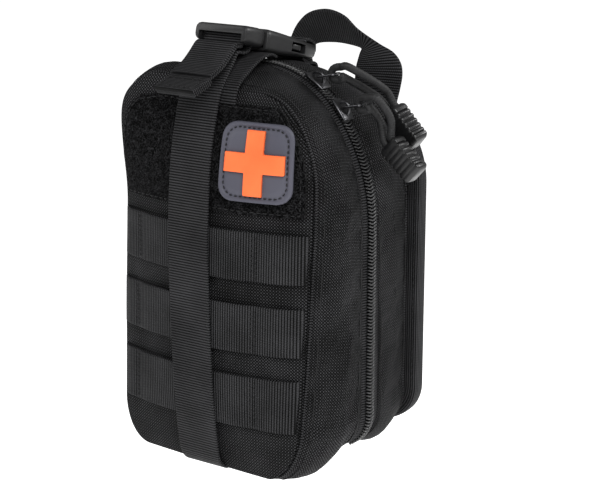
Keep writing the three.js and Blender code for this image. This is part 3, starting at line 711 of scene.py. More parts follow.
def face_sheet(low, high, half, front, back, columns, rows, lift=None, tuft=None, dip=None):
    """A closed thin sheet lying on the front panel, with rounded edges."""
    zs = np.linspace(low, high, rows)
    shares = np.linspace(-1, 1, columns)

    def layer(offset, trim, tuft=None):
        out = []
        for z in np.clip(zs, low + trim, high - trim):
            line = []
            for share in shares:
                x = share * (half(z) - trim)
                extra = (lift(x, z) if lift else 0) + (tuft(x, z) if tuft else 0)
                line.append(on_face(x, dip(x, z) if dip else z, offset + extra))
            out.append(line)
        return np.array(out)

    return [layer(back, 0.1 * MM), layer(front - 0.4 * MM, 0), layer(front, 0.45 * MM, tuft)]


def sheet_object(name, layers, material, body, slot, covers=(), uv=lambda p: (p[0], p[2])):
    """Joins the layers of a sheet round their rims, and fills its front and back."""
    build = Build()
    build.grid(layers[0], uv=uv)
    build.grid(layers[-1], uv=uv)
    rims = []
    for grid in layers:
        rims.append(np.vstack([grid[0], grid[1:, -1], grid[-1][::-1][1:], grid[1:-1, 0][::-1]]))
    build.grid(np.array(rims), around=True, uv=uv)
    return build.object(name, material, body, slot, covers)


def row_half(z):
    return (FACE[0] - 1.4 * MM) * width_share(z)


def add_webbing_rows():
    """Three rows of tape, bowed out between their stitched columns."""
    columns_at = [STRAP_X + k * ROW_PITCH for k in (-1, 0, 1)]

    def bow(x, z):
        nearest = min(abs(x - c) for c in columns_at)
        inward = (row_half(z) - abs(x)) / (12 * MM)
        tuck = 1.3 * MM * max(0, 1 - inward * 2) ** 2
        return 1.1 * MM * min(1, nearest / (9 * MM)) ** 0.7 * max(0, min(1, inward)) - tuck

    for row in range(3):
        low = ROWS_LOW + row * ROW_PITCH
        layers = face_sheet(low, low + WEBBING, row_half, 2.1 * MM, 0.4 * MM, 120, 16, bow)
        sheet_object(f"front_row_{row + 1}_tape", layers, MATERIALS["webbing"], "front_half", "webbing",
                     [f"front_webbing_row_{row + 1}"])
        for x in columns_at:
            for dx in (-1.1 * MM, 1.1 * MM):
                zs = np.linspace(low + 1.2 * MM, low + WEBBING - 1.2 * MM, 12)
                line = [on_face(x + dx, z, 2.35 * MM) for z in zs]
                stitch_line("front_half", line, np.tile((0, -1, 0), (len(line), 1)), 1.7 * MM, 0.7 * MM)


def add_loop_field():
    """Brushed loop tape with a tufted surface and a stitched border."""
    low, high = LOOP_LOW.z, LOOP_HIGH.z - 3 * MM

    def dip(x, z):
        """The tape's upper edge slopes down to the left, under the stuffed shoulder."""
        return z - LOOP_DIP * smoothstep(-x, 12 * MM, 50 * MM) * (z - low) / (high - low)

    def half(z):
        return min(57 * MM, half_width(FACE, z) - 2 * MM)

    def tuft(x, z):
        near_edge = min(half(z) - abs(x), z - low, high - z)
        flat = min(1, max(0, near_edge - 2.4 * MM) / (1.5 * MM))
        return (random.random() - 0.5) * 0.5 * MM * flat + 0.25 * MM * flat

    layers = face_sheet(low, high, half, 1.9 * MM, 0.4 * MM, 210, 96, tuft=tuft, dip=dip)
    sheet_object("front_loop_pile", layers, MATERIALS["loop"], "front_half", "loop_pile",
                 ["front_loop_field"])
    trim = 1.9 * MM
    zs = np.linspace(low + trim, high - trim, 16)
    right = [(half(z) - trim, z) for z in zs]
    border = [(-x, z) for x, z in right[::-1]] + right
    border = resample(np.array(border), 120, closed=True)
    line = [on_face(x, dip(x, z), 2.2 * MM) for x, z in border]
    stitch_line("front_half", line, np.tile((0, -1, 0), (len(line), 1)), closed=True)


# ------------------------------------------------------------------ patch
def rounded_square(half, corner, steps=6):
    points = []
    for quarter, (sx, sz) in enumerate([(1, -1), (1, 1), (-1, 1), (-1, -1)]):
        start = -math.pi / 2 + quarter * math.pi / 2
        centre = (sx * (half - corner), sz * (half - corner))
        points.append(arc_points(centre[0], centre[1], corner, start, start + math.pi / 2, steps))
    return resample(np.vstack(points), 96, closed=True)


def cross_outline(arm, reach):
    """A plus as an evenly sampled closed outline."""
    points = []
    for turn in range(4):
        c, s = math.cos(turn * math.pi / 2), math.sin(turn * math.pi / 2)
        for x, z in [(arm, -reach), (arm, -arm), (reach, -arm)]:
            points.append((x * c - z * s, x * s + z * c))
    return resample(np.array(points), 168, closed=True)


def raised_shape(build, loop, profile, centre):
    """Rings of a shape on the front panel: profile is (scale, offset from the panel)."""
    rings = [[on_face(centre.x + x * k, centre.z + z * k, offset) for x, z in loop] for k, offset in profile]
    build.grid(rings, around=True, uv=lambda p: (p[0], p[2]), cap=True)
    return build


def add_patch():
    half = PATCH_SIZE / 2 - 1.5 * MM
    square = rounded_square(half, 7.5 * MM)

    def inner(by):
        """The scale that brings the square's edge in by this much."""
        return (half - by) / half

    rim = [(0.3, 4.3), (0, 4.6), (0, 6.0), (0.35, 6.45), (1.3, 6.5), (1.7, 6.2), (2.0, 5.75),
           (3.2, 5.7), (3.6, 6.05), (6, 6.1)]  # (in from the edge, height), in millimetres
    base = [(inner(by * MM), height * MM) for by, height in rim] + [(0.4, 6.1 * MM), (0.02, 6.1 * MM)]
    raised_shape(Build(), square, base, PATCH_CENTRE).object(
        "patch_face", MATERIALS["patch"], "patch", "grey_rubber", ["patch_base"])
    backing = [(0.9, 2.9 * MM), (0.93, 3.1 * MM), (0.93, 4.2 * MM), (0.02, 4.2 * MM)]
    raised_shape(Build(), square, backing, PATCH_CENTRE).object(
        "patch_backing", MATERIALS["hook"], "patch", "hook_tape", ["patch_hook_backing"])
    low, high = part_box("patch_cross")
    reach = (high.x - low.x) / 2
    plus = cross_outline(4.9 * MM, reach)
    profile = [(0.99, 6.0 * MM), (1.0, 7.2 * MM), (0.975, 7.6 * MM), (0.9, 7.65 * MM), (0.4, 7.65 * MM),
               (0.02, 7.65 * MM)]
    raised_shape(Build(), plus, profile, PATCH_CENTRE).object(
        "patch_plus", MATERIALS["orange"], "patch", "orange_rubber", ["patch_cross"])
    groove = square * inner(2.6 * MM)
    line = [on_face(PATCH_CENTRE.x + x, PATCH_CENTRE.z + z, 5.85 * MM) for x, z in groove]
    stitch_line("patch", line, np.tile((0, -1, 0), (len(line), 1)), 1.9 * MM, 0.8 * MM, closed=True)


# ------------------------------------------------------------------ zip
def zip_path(offset=0.0, first=0.096):
    """The zip line from the lower right corner over the top to the lower left, at y = 0."""
    loop = outline(inset(BODY, -offset), 640)
    start = int(len(loop) * first)
    return loop[start : len(loop) - start]


def add_zip():
    path = zip_path()
    along = tangents(path)
    out = np.stack([along[:, 1], -along[:, 0]], axis=1)
    for side, half in ((-1, "front"), (1, "rear")):
        body = half + "_half"
        tape = Build()
        reach = 12.5 if half == "rear" else 7.0
        for_section = [(reach, -2.4), (reach, -1.4), (3.8, -0.2), (3.0, -0.2), (3.0, -1.2), (3.8, -1.4)]
        rings = [[(p[0] + n[0] * h * MM, side * y * MM, p[1] + n[1] * h * MM) for y, h in for_section]
                 for p, n in zip(path[::2], out[::2])]
        tape.grid(rings, around=True, cap=True)
        tape.object(half + "_zip_tape_cloth", MATERIALS["webbing"], body, "webbing", [half + "_zip_tape"])
        add_teeth(half, side, path, body)


def add_teeth(half, side, path, body):
    """Coil teeth as slanted bars, so that the two rows meet in chevrons."""
    pitch = 1.8 * MM
    length = np.linalg.norm(np.diff(path, axis=0), axis=1).sum()
    centres = resample(path, int(length / pitch))
    along = tangents(centres)
    build = Build()
    slant = 1.25 * MM
    for p, t in zip(centres, along):
        n = np.array([t[1], -t[0]])

        def at(y, forward, height):
            q = p + t * (forward + slant * (y / (3.5 * MM))) + n * height
            return (q[0], side * y, q[1])

        rings = []
        for y, size in ((0.05 * MM, 0.8), (0.6 * MM, 1.0), (2.8 * MM, 1.0), (3.5 * MM, 0.6)):
            w, top = 0.56 * MM * size, 1.3 * MM * (0.55 + 0.45 * size)
            rings.append([at(y, -w, -0.9 * MM), at(y, w, -0.9 * MM), at(y, w, top * 0.5),
                          at(y, w * 0.55, top), at(y, -w * 0.55, top), at(y, -w, top * 0.5)])
        build.grid(rings, around=True, cap=True)
    build.object(half + "_zip_coil", MATERIALS["teeth"], body, "zip_teeth", [half + "_zip_teeth"])


# ------------------------------------------------------------------ shared solid shapes
def rounded_section(half, low, high, corner, steps=4):
    """A rounded rectangle as (across, up) points, anticlockwise."""
    corner = min(corner, half * 0.98, (high - low) * 0.49)
    points = []
    centres = [(half - corner, low + corner), (half - corner, high - corner),
               (corner - half, high - corner), (corner - half, low + corner)]
    for quarter, (cx, cz) in enumerate(centres):
        start = -math.pi / 2 + quarter * math.pi / 2
        points.extend(arc_points(cx, cz, corner, start, start + math.pi / 2, steps))
    return np.array(points)


def rounded_block(stations, place, corner, lip):
    """Rings of a moulded block along its first axis, with softly rounded ends.

    stations are (along, half width, lowest, highest) and place maps (along, across, up) to the part.
    """
    first, last = stations[0], stations[-1]

    def shrunk(station, by, shift):
        return (station[0] + shift, station[1] - by, station[2] + by, station[3] - by)

    rows = [shrunk(first, lip, 0), shrunk(first, lip * 0.3, lip * 0.3), shrunk(first, 0, lip)]
    rows += list(stations[1:-1])
    rows += [shrunk(last, 0, -lip), shrunk(last, lip * 0.3, -lip * 0.3), shrunk(last, lip, 0)]
    return np.array([[place(along, x, z) for x, z in rounded_section(half, low, high, corner)]
                     for along, half, low, high in rows])


def cutter(low, high, place):
    """A box in a local frame, as a cutting object for carve(), which deletes it afterwards."""
    build = Build()
    corners = [(low[1], low[2]), (high[1], low[2]), (high[1], high[2]), (low[1], high[2])]
    rings = [[place(along, x, z) for x, z in corners] for along in (low[0], high[0])]
    build.grid(rings, around=True, cap=True)
    return build.object("cutter", MATERIALS["plastic"], None, "")


def carve(obj, cutters):
    """Cuts boxes out of a piece and keeps the result as its mesh."""
    for i, tool in enumerate(cutters):
        cut = obj.modifiers.new(f"cut_{i}", "BOOLEAN")
        cut.operation = "DIFFERENCE"
        cut.solver = "EXACT"
        cut.object = tool
    bpy.context.view_layer.update()
    result = bpy.data.meshes.new_from_object(obj.evaluated_get(bpy.context.evaluated_depsgraph_get()))
    obj.modifiers.clear()
    obj.data = result
    for tool in cutters:
        bpy.data.objects.remove(tool)
    obj.data.polygons.foreach_set("use_smooth", [True] * len(obj.data.polygons))
    obj.data.set_sharp_from_angle(angle=math.radians(38))
    return obj


def crisp(obj, angle=38):
    """Smooth shading that keeps a piece's hard edges."""
    obj.data.set_sharp_from_angle(angle=math.radians(angle))
    return obj


# ------------------------------------------------------------------ sliders and pulls
ARCH_Z = BODY[2] - BODY[3]
CHAIN_RADIUS = BODY[3] + 1.4 * MM
CORD_RADIUS = 2.0 * MM
GRIP_LENGTH, GRIP_HALF, GRIP_DEPTH = 22 * MM, 6.5 * MM, 9 * MM


def local_frame(origin, angle, roll=0.0):
    """Maps (along, across, out) to the part: along tips up from +X by angle, then the rest rolls about it."""
    c, s = math.cos(angle), math.sin(angle)
    cr, sr = math.cos(roll), math.sin(roll)

    def place(a, across, out):
        y, h = across * cr - out * sr, across * sr + out * cr
        return np.array([origin[0] + c * a - s * h, origin[1] + y, origin[2] + s * a + c * h])

    return place


def add_pull(which, angle, link_angle, grip_at, grip_angle, roll, bend):
    a = math.radians(angle)

    def spot(r):
        return (r * math.cos(a), 0, ARCH_Z + r * math.sin(a))

    seat = local_frame(spot(CHAIN_RADIUS), a - math.pi / 2)
    slider_body, pull_body = which + "_slider", which + "_pull"

    crown = [(-6.5 * MM, 3.4 * MM, 0.8 * MM, 2.0 * MM), (-3 * MM, 4.6 * MM, 0.8 * MM, 2.6 * MM),
             (3 * MM, 4.9 * MM, 0.8 * MM, 2.6 * MM), (6.5 * MM, 4.4 * MM, 0.8 * MM, 2.0 * MM)]
    build = Build()
    build.grid(rounded_block(crown, seat, 0.8 * MM, 0.5 * MM), around=True, cap=True)
    turns = np.linspace(math.pi, 0, 16)
    arch = [seat(3.5 * MM * math.cos(t), 0, 2.3 * MM + 3.5 * MM * math.sin(t)) for t in turns]
    bail = tube_rings(arch, 0.85 * MM, sides=10)
    build.grid(bail, around=True, cap=True)
    crisp(build.object(which + "_slider_body", MATERIALS["metal"], slider_body, "dark_metal",
                       [which + "_slider"]))

    link = local_frame(spot(CHAIN_RADIUS + 4 * MM), math.radians(link_angle))
    section = rounded_section(5.4 * MM, -3.3 * MM, 3.3 * MM, 1.4 * MM, 6)
    loop = [link(along + 5.4 * MM, across, 0) for along, across in section]
    loop = resample(np.array(loop), 72, closed=True)
    wire = tube_rings(np.vstack([loop, loop[:3]]), 0.7 * MM, sides=8)[1:-1]
    Build().grid(wire, around=True).object(
        which + "_wire_link", MATERIALS["metal"], pull_body, "dark_metal", [which + "_puller_link"])

    holder = local_frame(grip_at, math.radians(grip_angle), math.radians(roll))
    add_grip(which, holder, pull_body)
    points = [holder(4.5 * MM, 0, 0), holder(-2 * MM, 0, 0), *[np.array(p) for p in bend]]
    points += [link(x * MM, 0, 0) for x in (17, 14, 10.8)]
    spread = np.array([2.2, 2.3] + [3.2] * len(bend) + [3.2, 3.2, 3.3]) * MM
    side = np.cross(np.gradient(np.array(points), axis=0), (0, 1, 0))
    side = np.array([unit(v) for v in side]) * -spread[:, None]
    there, back = points + side, (points - side)[::-1]
    ahead = unit(points[-1] - points[-2]) * spread[-1]
    turn = [points[-1] + ahead * math.sin(t) + side[-1] * math.cos(t) for t in np.radians([45, 90, 135])]
    path = smooth_path(np.vstack([there, turn, back]), 20)
    path = resample(path, 300)

    def braid(travelled, t):
        """The share of the radius that crossing strands add at one spot of the cord."""
        turn_by = travelled * 2 * math.pi / (2.6 * MM)
        return 0.075 * math.sin(turn_by + 2 * t) * math.cos(turn_by - 2 * t)

    Build().grid(tube_rings(path, CORD_RADIUS, 14, wave=braid), around=True, cap=True).object(
        which + "_braided_cord", MATERIALS["cord"], pull_body, "cord", [which + "_cord"])


def add_grip(which, place, body):
    """A moulded grip: smooth wide faces, and close ribs over its two narrow edges."""
    rings = []
    count = 105
    for i in range(count):
        x = GRIP_LENGTH * i / (count - 1)
        end = min(x, GRIP_LENGTH - x) / (2.2 * MM)
        round_off = 1 - 0.22 * (1 - min(1, end)) ** 2
        ribbed = 1 if 4 * MM < x < GRIP_LENGTH - 3 * MM else 0
        dip = 1.0 * MM * ribbed * (0.5 + 0.5 * math.cos(2 * math.pi * (x - 4 * MM) / (3.0 * MM))) ** 2
        section = rounded_section(GRIP_DEPTH / 2 * round_off, -(GRIP_HALF - 0.2 * MM) * round_off + dip,
                                  (GRIP_HALF - 0.2 * MM) * round_off - dip, 1.1 * MM)
        rings.append([place(x, y, h) for y, h in section])
    grip = Build().grid(rings, around=True, cap=True).object(
        which + "_moulded_grip", MATERIALS["grip"], None, "black_plastic")
    mouth = cutter((-1 * MM, -3.2 * MM, -4.7 * MM), (6.5 * MM, 3.2 * MM, 4.7 * MM), place)
    carve(grip, [mouth])
    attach(grip, body)
    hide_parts(which + "_grip")


def add_pulls():
    add_pull("upper", 57.8, 12, np.array([69, 18, 181.5]) * MM, -46, 20, [np.array([62.5, 15, 190.5]) * MM])
    add_pull("lower", 39.2, 12, np.array([75.5, 5, 167]) * MM, -42, 0, [np.array([72.5, 4.5, 179]) * MM])


# ------------------------------------------------------------------ buckle
BUCKLE_PITCH = math.radians(14.5)
MOUTH = np.array([0, -12 * MM, 216.5 * MM])


def buckle_place(along, across, up):
    """Buckle frame: along runs into the female half, up points out of the bag."""
    c, s = math.cos(BUCKLE_PITCH), math.sin(BUCKLE_PITCH)
    return np.array([STRAP_X + across, MOUTH[1] + c * along + s * up, MOUTH[2] - s * along + c * up])


def buckle_box(low, high):
    return cutter(np.array(low) * MM, np.array(high) * MM, buckle_place)


def mm(rows):
    """Rows of millimetres, in metres."""
    return [tuple(v * MM for v in row) for row in rows]


def block(rows, corner, lip):
    """A rounded moulding in the buckle frame, still to be named."""
    return Build().grid(rounded_block(mm(rows), buckle_place, corner, lip), around=True, cap=True)


def add_buckle():
    shell = [(0, 17, -6.4, 5.4), (3, 17.2, -6.4, 5.5), (13, 17, -6.3, 5.4), (21, 16.4, -5.6, 5.2),
             (29, 16.4, -5, 4.7), (36, 16.2, -4.6, 4.4), (49, 15.2, -4, 4)]
    female = block(shell, 3.0 * MM, 1.3 * MM).object(
        "buckle_female_shell", MATERIALS["plastic"], None, "black_plastic")
    carve(female, [
        buckle_box((-1, -14.8, -4.3), (17, 14.8, 3.3)),
        buckle_box((10, -14.8, -2.4), (37, 14.8, 2.4)),
        buckle_box((24, -20, -2.6), (37, 20, 2.4)),
        buckle_box((38, -13.2, -9), (42.5, 13.2, 9)),
        buckle_box((4.5, -9, 4.9), (5.7, 9, 7)),
        buckle_box((7.2, -9, 4.9), (8.4, 9, 7)),
    ])
    ladder = [(-18.5, 16.3, -4.3, 4.3), (-16, 16.6, -4.6, 4.6), (-6, 16.6, -5, 5), (-0.4, 15.6, -4.6, 4.6)]
    male = block(ladder, 2.6 * MM, 1.0 * MM).object(
        "buckle_male_ladder", MATERIALS["plastic"], None, "black_plastic")
    carve(male, [
        buckle_box((-15.9, -13.2, -9), (-12, 13.2, 9)),
        buckle_box((-9.2, -13.2, -9), (-5.2, 13.2, 9)),
        buckle_box((-12.2, -13.2, 0.8), (-9, 13.2, 9)),
        buckle_box((-12.2, -13.2, -9), (-9, 13.2, -3)),
        buckle_box((-20, -13.6, -9), (-14, 13.6, 0.2)),
    ])
    guide = block([(-1.5, 3, -1.5, 1.5), (6, 3, -1.5, 1.5), (13, 2.4, -1.3, 1.3)], 0.8 * MM, 0.6 * MM)
    crisp(guide.object("buckle_guide", MATERIALS["plastic"], "closure_strap", "black_plastic"))
    for obj, body, node in ((female, "mounting_panel", "buckle_female"),
                            (male, "closure_strap", "buckle_male")):
        soften(obj, 0.35 * MM)
        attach(obj, body)
        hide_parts(node)
    for side, name in ((-1, "left"), (1, "right")):
        spine = mm([(0.9, 10), (8, 10), (18, 10.4), (26, 11.6), (28.5, 12.6), (33, 12.9), (35.5, 12)])
        halves = np.array([2.2, 2.2, 2.2, 2.6, 3.2, 2.8, 1.4]) * MM
        rings = []
        for (along, middle), half in zip(spine, halves):
            section = rounded_section(half, -1.5 * MM, 1.5 * MM, 0.7 * MM)
            rings.append([buckle_place(along, side * middle + x, z) for x, z in section])
        crisp(Build().grid(rings, around=True, cap=True).object(
            f"buckle_prong_{name}", MATERIALS["plastic"], name + "_latch", "black_plastic",
            [f"buckle_latch_{name}"]))


# ------------------------------------------------------------------ straps
def bp(along, up):
    """A (y, z) point of the buckle frame, given in millimetres."""
    p = buckle_place(along * MM, 0, up * MM)
    return (p[1] / MM, p[2] / MM)


def strap_path(points, per=8, count=240, lean=0.0):
    path = [(STRAP_X + lean * max(0, 1 - z / 115), y * MM, z * MM) for y, z in points]
    return resample(smooth_path(path, per), count)


def under_front(y):
    """The height just below the front half's bottom at depth y, in millimetres."""
    low = sizes_at(FRONT_STATIONS, y * MM)[1]
    return (stuff((STRAP_X, y * MM, low))[2] - 0.9 * MM) / MM


def add_straps():
    line = []
    for z in range(18, 183, 12):
        line.append((face_y(STRAP_X, z * MM, 4.3 * MM) / MM, z - FRONT_SAG * droop(z * MM) / MM))
    foot = under_front(-41)
    closure = [(-26, under_front(-26)), (-34, under_front(-34)), (-45, foot), (-53, foot + 1.6),
               (-57.8, foot + 7.5), *line,
               (-47.4, 190.4), (-44, 196.6), (-39.5, 202), (-35, 207.2),
               bp(-17.5, -9.6), bp(-12.3, -9), bp(-8.1, -7), bp(-7.1, -3), bp(-7.7, 0.8), bp(-10.6, 2.4),
               bp(-13.5, 0.8), bp(-14.1, -2.6), bp(-15.4, -6), bp(-19.5, -7.2),
               (-38.5, 209.6), (-45, 205), (-53, 201.6), (-61, 198.9), (-69, 196.6)]
    path = strap_path(closure, count=420, lean=STRAP_LEAN)
    webbing("closure_webbing", path, "closure_strap", covers=["closure_strap"], lanes=12)
    add_tail(path)

    lead = [(41.4, 152), (41.4, 168), (41.5, 182), (41.2, 191), (39.6, 197.3), bp(47.5, -6.2), bp(43.6, -5.8),
            bp(40.6, -3.6), bp(40.2, 0.5), bp(41.6, 5.2), bp(45.5, 6), bp(50.4, 4.8), bp(51.7, 0.5)]
    webbing("buckle_lead_webbing", strap_path(lead, count=150), "mounting_panel", covers=["buckle_lead"],
            lanes=12)

    lift_x = sum(c.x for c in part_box("front_lift_loop")) / 2
    lift = [(-44.7, 187.5), (-43.8, 193), (-40.6, 197.6), (-33, 202.6), (-23, 207.6), (-14, 209.3),
            (-8.4, 207.4)]
    path = [(lift_x, y * MM, z * MM) for y, z in lift]
    webbing("lift_loop_webbing", resample(smooth_path(path, 8), 90), "front_half",
            covers=["front_lift_loop"], lanes=12)


def add_tail(path):
    """The free end of the strap: a doubled layer out of the buckle, then a tab folded over and sewn flat."""
    steps = np.linalg.norm(np.diff(path, axis=0), axis=1)
    from_end = np.append(np.cumsum(steps[::-1])[::-1], 0)
    downward = np.array([unit(np.cross(t, (1, 0, 0))) for t in tangents(path)])
    downward *= np.where(downward[:, 2:] > 0, -1, 1)

    def layer(name, start, end, drop, thick, narrow=0.0):
        keep = (from_end <= start) & (from_end >= end)
        line = resample(path[keep] + downward[keep] * drop, 60)
        webbing(name, line, "closure_strap", thick=thick, width=WEBBING - narrow, lanes=12)

    layer("closure_tail_upper_layer", 42 * MM, 15 * MM, -1.6 * MM, 1.5 * MM)
    layer("closure_tab_fold_upper", 16 * MM, 0.3 * MM, 1.5 * MM, 1.4 * MM, 0.4 * MM)
    layer("closure_tab_fold_lower", 15 * MM, 0.9 * MM, 2.9 * MM, 1.3 * MM, 0.9 * MM)
    for distance in (2.2 * MM, 12 * MM):
        at = int(np.argmin(abs(from_end - distance)))
        across = np.linspace(-0.42, 0.42, 16) * WEBBING
        row = [path[at] + np.array([x, 0, 0]) - downward[at] * 0.95 * MM for x in across]
        stitch_line("closure_strap", row, np.tile(-downward[at], (16, 1)), 2.0 * MM, 0.8 * MM)
    for side in (-1, 1):
        keep = (from_end < 12 * MM) & (from_end > 2.2 * MM)
        row = path[keep] - downward[keep] * 0.95 * MM + np.array([side * 0.42 * WEBBING, 0, 0])
        stitch_line("closure_strap", row, -downward[keep], 2.0 * MM, 0.8 * MM)


# ------------------------------------------------------------------ mounting panel
def outline_loft(profile, sizes, count=160):
    """Rings round an outline: profile is (inset, y)."""
    rings = [[(x, y, z) for x, z in outline(inset(sizes, by), count)] for by, y in profile]
    return rings


def padded_plate(name, sizes, y0, y1, puff, material, body, slot, covers=()):
    """A sewn board: flat rims and slightly full faces, filled in with shrinking rings."""
    middle_x, middle_z = 0, (sizes[1] + sizes[2]) / 2
    rim = outline(sizes)

    def ring(scale, y):
        return [(middle_x + (x - middle_x) * scale, y, middle_z + (z - middle_z) * scale) for x, z in rim]

    scales = [0.02, 0.25, 0.5, 0.7, 0.85, 0.94, 0.985]
    bulges = [puff * (1 - s**3) for s in scales]
    rows = [ring(s, y0 - bulge) for s, bulge in zip(scales, bulges)]
    rows += [ring(1, y0 + 0.3 * MM), ring(1, y1 - 0.3 * MM)]
    rows += [ring(s, y1 + bulge) for s, bulge in zip(scales[::-1], bulges[::-1])]
    return Build().grid(rows, around=True, cap=True, uv=lambda p: (p[0], p[2])).object(
        name, material, body, slot, covers)


def flat_sheet(name, xs, zs, y0, y1, material, body, slot, covers=(), rough=0.0):
    """A thin sheet in the XZ plane with a tufted front when rough is set."""
    front = [[(x, y0 + (random.random() - 0.5) * rough, z) for x in xs] for z in zs]
    back = [[(x, y1, z) for x in xs] for z in zs]
    layers = [np.array(front), np.array(back)]
    return sheet_object(name, layers, material, body, slot, covers)


def add_mounting_panel():
    body = "mounting_panel"
    padded_plate("panel_board_cloth", inset(PANEL, 1.7 * MM), PANEL_FRONT, PANEL_BACK, 0.1 * MM,
                 MATERIALS["nylon"], body, "nylon_cloth", ["panel_core"])
    front, back = PANEL_FRONT - 0.3 * MM, PANEL_BACK + 0.3 * MM
    section = [(9, front), (9, front - 0.7 * MM), (8.3, front - 1.1 * MM), (4, front - 1.15 * MM),
               (1, front - 1.1 * MM), (0.2, front - 0.4 * MM), (0, (front + back) / 2),
               (0.2, back + 0.4 * MM), (1, back + 1.1 * MM), (4, back + 1.15 * MM), (8.3, back + 1.1 * MM),
               (9, back + 0.7 * MM), (9, back), (1.4, back), (1.4, front)]
    rings = np.array(outline_loft([(by * MM, y) for by, y in section], PANEL, 220))
    closed = np.vstack([rings, rings[:1]])
    Build().grid(closed, around=True).object("panel_edge_binding", MATERIALS["webbing"], body, "webbing",
                                             ["panel_binding"])
    for by in (2.2, 7.4):
        for y, facing in ((front - 1.25 * MM, -1), (back + 1.25 * MM, 1)):
            ring = [(x, y, z) for x, z in outline(inset(PANEL, by * MM), 160)]
            stitch_line(body, ring, np.tile((0, facing, 0), (160, 1)), closed=True)

    low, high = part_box("panel_hook_field")
    flat_sheet("panel_hook_tape", np.linspace(low.x, high.x, 90), np.linspace(low.z, high.z, 104),
               low.y + 0.3 * MM, high.y, MATERIALS["hook"], body, "hook_tape", ["panel_hook_field"],
               rough=0.5 * MM)
    for row in range(3):
        add_back_row(row, body)
    for name in ("left", "right"):
        add_mount_strap(name)
    add_handle()


def box_border(low, high, trim, y, facing, body):
    xs, zs = (low.x + trim, high.x - trim), (low.z + trim, high.z - trim)
    corners = np.array([(xs[0], zs[0]), (xs[1], zs[0]), (xs[1], zs[1]), (xs[0], zs[1])])
    ring = [(x, y, z) for x, z in resample(corners, 120, closed=True)]
    stitch_line(body, ring, np.tile((0, facing, 0), (120, 1)), closed=True)


def add_back_row(row, body):
    """A row of tape on the back of the panel, bowed out between its stitched columns."""
    low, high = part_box(f"panel_webbing_row_{row + 1}")
    xs = np.linspace(low.x, high.x, 140)
    columns = [k * ROW_PITCH for k in (-1.5, -0.5, 0.5, 1.5)]
    zs = np.linspace(low.z, high.z, 14)

    def bow(x):
        return 0.6 * MM * min(1, min(abs(x - c) for c in columns) / (8 * MM)) ** 0.7

    def lip(z):
        return 0.35 * MM * (1 - min(1, min(z - low.z, high.z - z) / (0.7 * MM)))

    outer = np.array([[(x, high.y + bow(x) - lip(z), z) for x in xs] for z in zs])
    inner = np.array([[(x, low.y, z) for x in xs] for z in zs])
    sheet_object(f"panel_row_{row + 1}_tape", [inner, outer], MATERIALS["webbing"], body, "webbing",
                 [f"panel_webbing_row_{row + 1}"])
    for x in columns:
        for dx in (-1.1 * MM, 1.1 * MM):
            heights = np.linspace(low.z + 1.2 * MM, high.z - 1.2 * MM, 12)
            line = [(x + dx, high.y + 0.2 * MM, z) for z in heights]
            stitch_line(body, line, np.tile((0, 1, 0), (12, 1)), 1.7 * MM, 0.7 * MM)


def add_mount_strap(name):
    body = name + "_mount_strap"
    low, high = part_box("mount_strap_" + name)
    x = (low.x + high.x) / 2
    top, bottom = high.z, low.z
    y_out, y_in = 53 * MM, 51.8 * MM
    points = []
    for z in np.linspace(top, bottom, 26):
        tuck = min(1, max(0, (31 * MM - z) / (7 * MM)))
        points.append((x, y_out + (y_in - y_out) * tuck * tuck * (3 - 2 * tuck), z))
    path = resample(smooth_path(points, 4), 190)
    webbing(f"mount_webbing_{name}", path, body, covers=["mount_strap_" + name], lanes=12)
    outer = y_out + TAPE / 2 + 0.15 * MM
    for z in (top - 2 * MM, top - 22 * MM):
        row = [(x + k * WEBBING, outer, z) for k in np.linspace(-0.42, 0.42, 14)]
        stitch_line(body, row, np.tile((0, 1, 0), (14, 1)), 2.0 * MM, 0.8 * MM)
    for sign in (-1, 1):
        row = [(x + k * WEBBING * sign, outer, z) for k, z in
               zip(np.linspace(-0.42, 0.42, 20), np.linspace(top - 22 * MM, top - 2 * MM, 20))]
        stitch_line(body, row, np.tile((0, 1, 0), (20, 1)), 2.0 * MM, 0.8 * MM)
    add_snap("snap_cap_" + name, body, domed=True)
    add_snap("snap_stud_" + name, "mounting_panel", domed=False)


def add_snap(node, body, domed):
    """A pressed steel snap part: a rolled rim round a shallow dome or a stud."""
    low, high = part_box(node)
    cx, cz = (low.x + high.x) / 2, (low.z + high.z) / 2
    radius, depth = (high.x - low.x) / 2, high.y - low.y
    profile = [(1.0, 0), (1.0, 0.5), (0.95, 0.9), (0.86, 1.0), (0.78, 0.85), (0.7, 0.75), (0.5, 0.95),
               (0.25, 1.05), (0.02, 1.1)]
    if not domed:
        profile = [(1.0, 0), (1.0, 0.6), (0.94, 0.95), (0.6, 1.0), (0.45, 0.8), (0.3, 0.85), (0.02, 0.85)]
    rings = [[(cx + radius * k * math.cos(t), low.y + depth * h, cz + radius * k * math.sin(t))
              for t in np.linspace(0, 2 * math.pi, 33)[:-1]] for k, h in profile]
    Build().grid(rings, around=True, cap=True).object(
        node + "_steel", MATERIALS["metal"], body, "dark_metal", [node])


